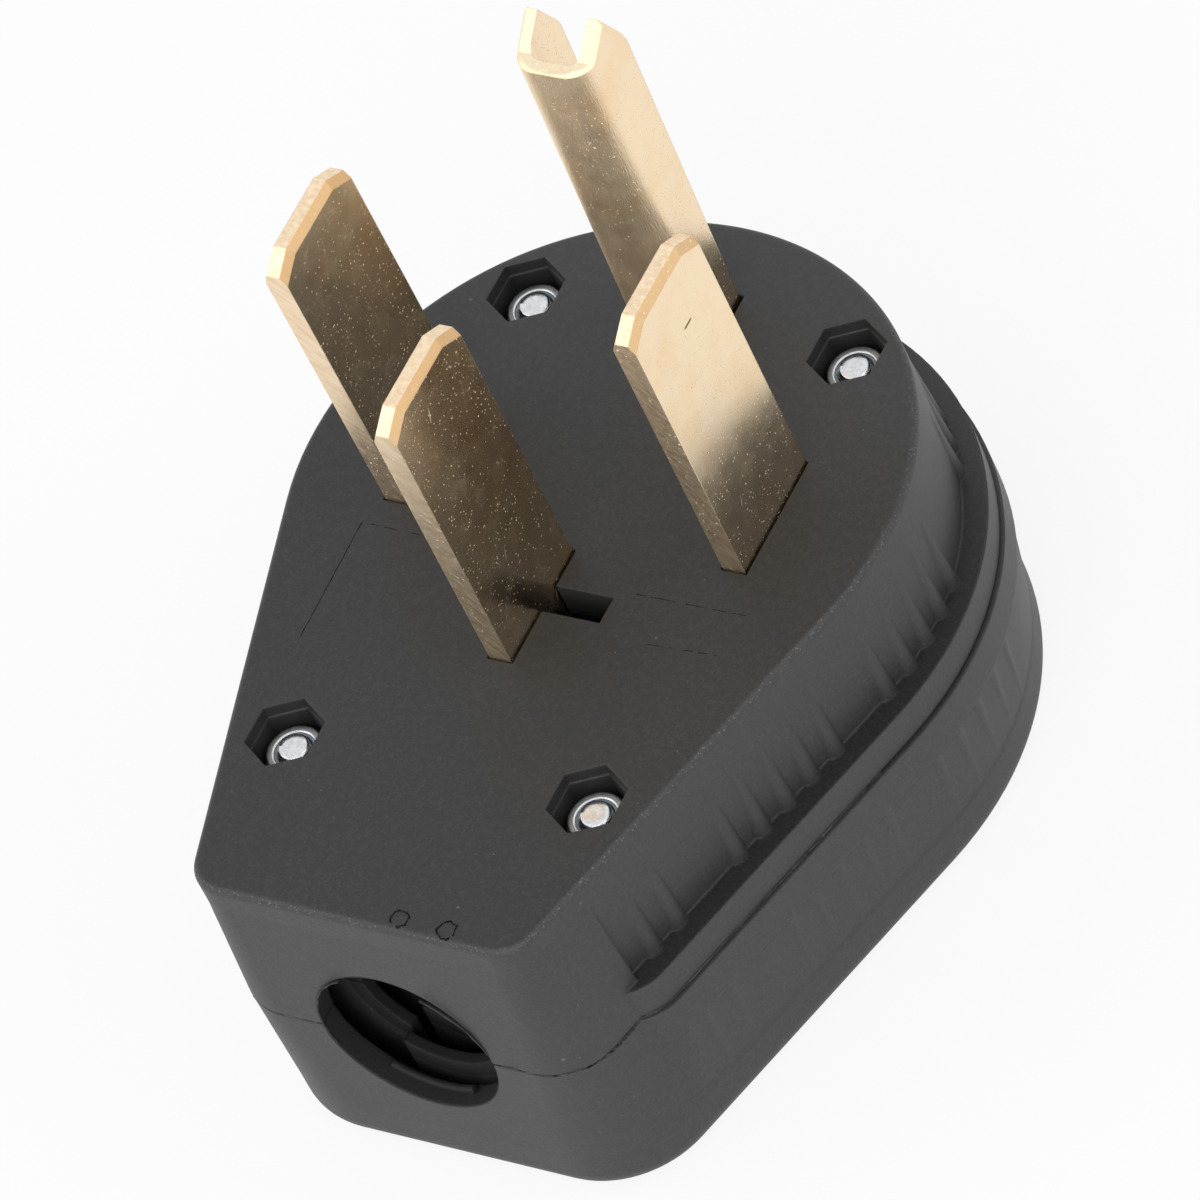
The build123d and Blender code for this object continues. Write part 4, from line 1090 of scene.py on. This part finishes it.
# Flash in the parting line, round the cable end and up the straight sides
def parting_flash(index, first_angle, last_angle, draw):
    """Torn fin that fills most of the parting gap along one stretch, told by angles about a middle."""
    mesh_data = bmesh.new()
    rings = []
    middle = Vector((0, FLASH_CENTRE_Y, PARTING_Z + PARTING_GAP))
    half = PARTING_GAP / 2
    for i in range(round((last_angle - first_angle) / FLASH_STEP) + 1):
        angle = math.radians(first_angle + i * FLASH_STEP)
        outward = Vector((math.cos(angle), math.sin(angle), 0))
        hit = FACE_TREE.ray_cast(middle + outward * FLASH_REACH, -outward)
        level, broad = (noise.noise(Vector((angle * waves, seed * index, 0.5)))
                        for waves, seed in (FLASH_WAVES, FLASH_BROAD_WAVES))
        normal = Vector((hit[1].x, hit[1].y, 0)).normalized()
        growth = 0.55 * level + 0.8 * broad + draw.uniform(*FLASH_OUT_JITTER)
        proud = FLASH_PROUD * max(FLASH_LEAST, growth)
        top = half * (0.20 + 1.3 * level - 0.9 * broad + draw.uniform(*FLASH_TOP_JITTER))
        top = max(FLASH_TOP_RANGE[0] * half, min(FLASH_TOP_RANGE[1] * half, top))
        base = Vector((hit[0].x, hit[0].y, PARTING_Z))
        profile = ((-FLASH_ROOT, -half), (0.0, -half), (proud, 0.3 * top - 0.3 * half),
                   (0.3 * proud, top), (-FLASH_ROOT, top))
        rings.append([base + normal * out + Vector((0, 0, up)) for out, up in profile])
    skin_run(mesh_data, rings)
    make_piece(f"parting_flash_{index}", mesh_data, ("torn_plastic",))


for number, (first_angle, last_angle) in enumerate(FLASH_STRETCHES, start=1):
    parting_flash(number, first_angle, last_angle, ragged)


# Cable mouth: ragged burr on its rim, and the rounded lip that holds the cable
def mouth_ring(mesh_data, profile_at, first_angle, last_angle, steps):
    """Skin along an arc about the cable axis; a profile point is a radius and a depth in the mouth."""
    rings = []
    for i in range(steps + 1):
        angle = math.radians(first_angle + (last_angle - first_angle) * i / steps)
        rings.append([(radius * math.cos(angle), MOUTH_Y + depth, PARTING_Z + radius * math.sin(angle))
                      for radius, depth in profile_at(angle)])
    skin_run(mesh_data, rings)


def rim_burr(index, first_angle, last_angle):
    """Thin ragged fin round one stretch of the mouth's rim."""
    front, middle, back = RIM_BURR_DEPTHS
    root = MOUTH_RADIUS + RIM_BURR_ROOT

    def profile(angle):
        wave = 0.5 + noise.noise(Vector((angle * RIM_WAVES[0], RIM_WAVES[1] * index, 1.5)))
        ends = math.sin(math.pi * (math.degrees(angle) - first_angle) / (last_angle - first_angle))
        reach = RIM_BURR * (0.15 + wave * max(0.0, ends) ** 0.5)
        return ((root, front), (MOUTH_RADIUS - 0.5 * reach, front), (MOUTH_RADIUS - reach, middle),
                (MOUTH_RADIUS - 0.3 * reach, back), (root, back))

    mesh_data = bmesh.new()
    mouth_ring(mesh_data, profile, first_angle, last_angle, RIM_STEPS)
    make_piece(f"rim_burr_{index}", mesh_data, ("torn_plastic",))


def grip_lip():
    """Rounded lip across the lower side of the mouth."""
    root = MOUTH_RADIUS + LIP_ROOT
    inner = LIP_RADIUS + LIP_ROUND
    front = LIP_SETBACK
    back = LIP_SETBACK + LIP_THICKNESS
    points = [(root, front)]
    points += [(inner - LIP_ROUND * math.sin(turn), front + LIP_ROUND * (1 - math.cos(turn)))
               for turn in LIP_ROUND_TURNS]
    points += [(inner - LIP_ROUND * math.cos(turn), back - LIP_ROUND * (1 - math.sin(turn)))
               for turn in LIP_ROUND_TURNS]
    points.append((root, back))
    mesh_data = bmesh.new()
    mouth_ring(mesh_data, lambda angle: points, *LIP_ARC, LIP_STEPS)
    make_piece("grip_lip", mesh_data, ("rear_plastic",))


for number, (first_angle, last_angle) in enumerate(RIM_STRETCHES, start=1):
    rim_burr(number, first_angle, last_angle)

grip_lip()


# Stage, lamps and camera
def white_where_seen(tree, shade, white_share):
    """Mix that shows a share of white over the shade to the camera, in gloss and in glass."""
    path = tree.nodes.new("ShaderNodeLightPath")
    seen = higher(tree, path.outputs["Is Camera Ray"], path.outputs["Is Glossy Ray"])
    seen = higher(tree, seen, path.outputs["Is Transmission Ray"])
    mix = tree.nodes.new("ShaderNodeMixShader")
    feed(tree, times(tree, seen, white_share), mix.inputs[0])
    feed(tree, shade, mix.inputs[1])
    return mix


def make_floor():
    """Pale floor that keeps the plug's faint shadow."""
    material = bpy.data.materials.new("pale_floor")
    material.use_nodes = True
    tree = material.node_tree
    tree.nodes.remove(tree.nodes["Principled BSDF"])
    output = tree.nodes["Material Output"]
    shade = tree.nodes.new("ShaderNodeBsdfDiffuse")
    shade.inputs["Color"].default_value = FLOOR_COLOUR
    mix = white_where_seen(tree, shade.outputs[0], FLOOR_WHITE_SHARE)
    glow = tree.nodes.new("ShaderNodeEmission")
    glow.inputs["Color"].default_value = WHITE
    tree.links.new(glow.outputs[0], mix.inputs[2])
    tree.links.new(mix.outputs[0], output.inputs["Surface"])
    mesh_data = bmesh.new()
    bmesh.ops.create_circle(mesh_data, cap_ends=True, radius=FLOOR_RADIUS, segments=FLOOR_SEGMENTS)
    mesh = bpy.data.meshes.new("floor")
    mesh_data.to_mesh(mesh)
    mesh_data.free()
    mesh.materials.append(material)
    floor = bpy.data.objects.new("floor", mesh)
    floor.location.z = CAD_BOX[0].z - FLOOR_DROP
    bpy.context.scene.collection.objects.link(floor)


def make_world():
    """White surroundings that light the plug softly."""
    world = bpy.data.worlds.new("studio")
    world.use_nodes = True
    bpy.context.scene.world = world
    tree = world.node_tree
    soft = tree.nodes["Background"]
    soft.inputs["Color"].default_value = WHITE
    soft.inputs["Strength"].default_value = WORLD_LEVEL
    output = tree.nodes["World Output"]
    mix = white_where_seen(tree, soft.outputs[0], 1.0)
    plain = tree.nodes.new("ShaderNodeBackground")
    plain.inputs["Color"].default_value = WHITE
    tree.links.new(plain.outputs[0], mix.inputs[2])
    tree.links.new(mix.outputs[0], output.inputs["Surface"])


def make_lamp(name, place, size, power):
    """Soft square lamp that looks at the plug."""
    data = bpy.data.lights.new(name, "AREA")
    data.size = size
    data.energy = power
    lamp = bpy.data.objects.new(name, data)
    lamp.location = place
    aim = (CAD_BOX[0] + CAD_BOX[1]) / 2 - Vector(place)
    lamp.rotation_euler = aim.to_track_quat("-Z", "Y").to_euler()
    bpy.context.scene.collection.objects.link(lamp)


def make_camera():
    """Camera at the photograph's place."""
    data = bpy.data.cameras.new("camera")
    data.lens = CAMERA_LENS
    data.sensor_width = SENSOR_WIDTH
    camera = bpy.data.objects.new("camera", data)
    camera.location = CAMERA_PLACE
    camera.rotation_euler = Euler([math.radians(turn) for turn in CAMERA_TURN])
    bpy.context.scene.collection.objects.link(camera)
    bpy.context.scene.camera = camera


make_floor()
make_world()
for lamp in LAMPS:
    make_lamp(*lamp)
make_camera()
bpy.context.scene.view_settings.view_transform = "Standard"
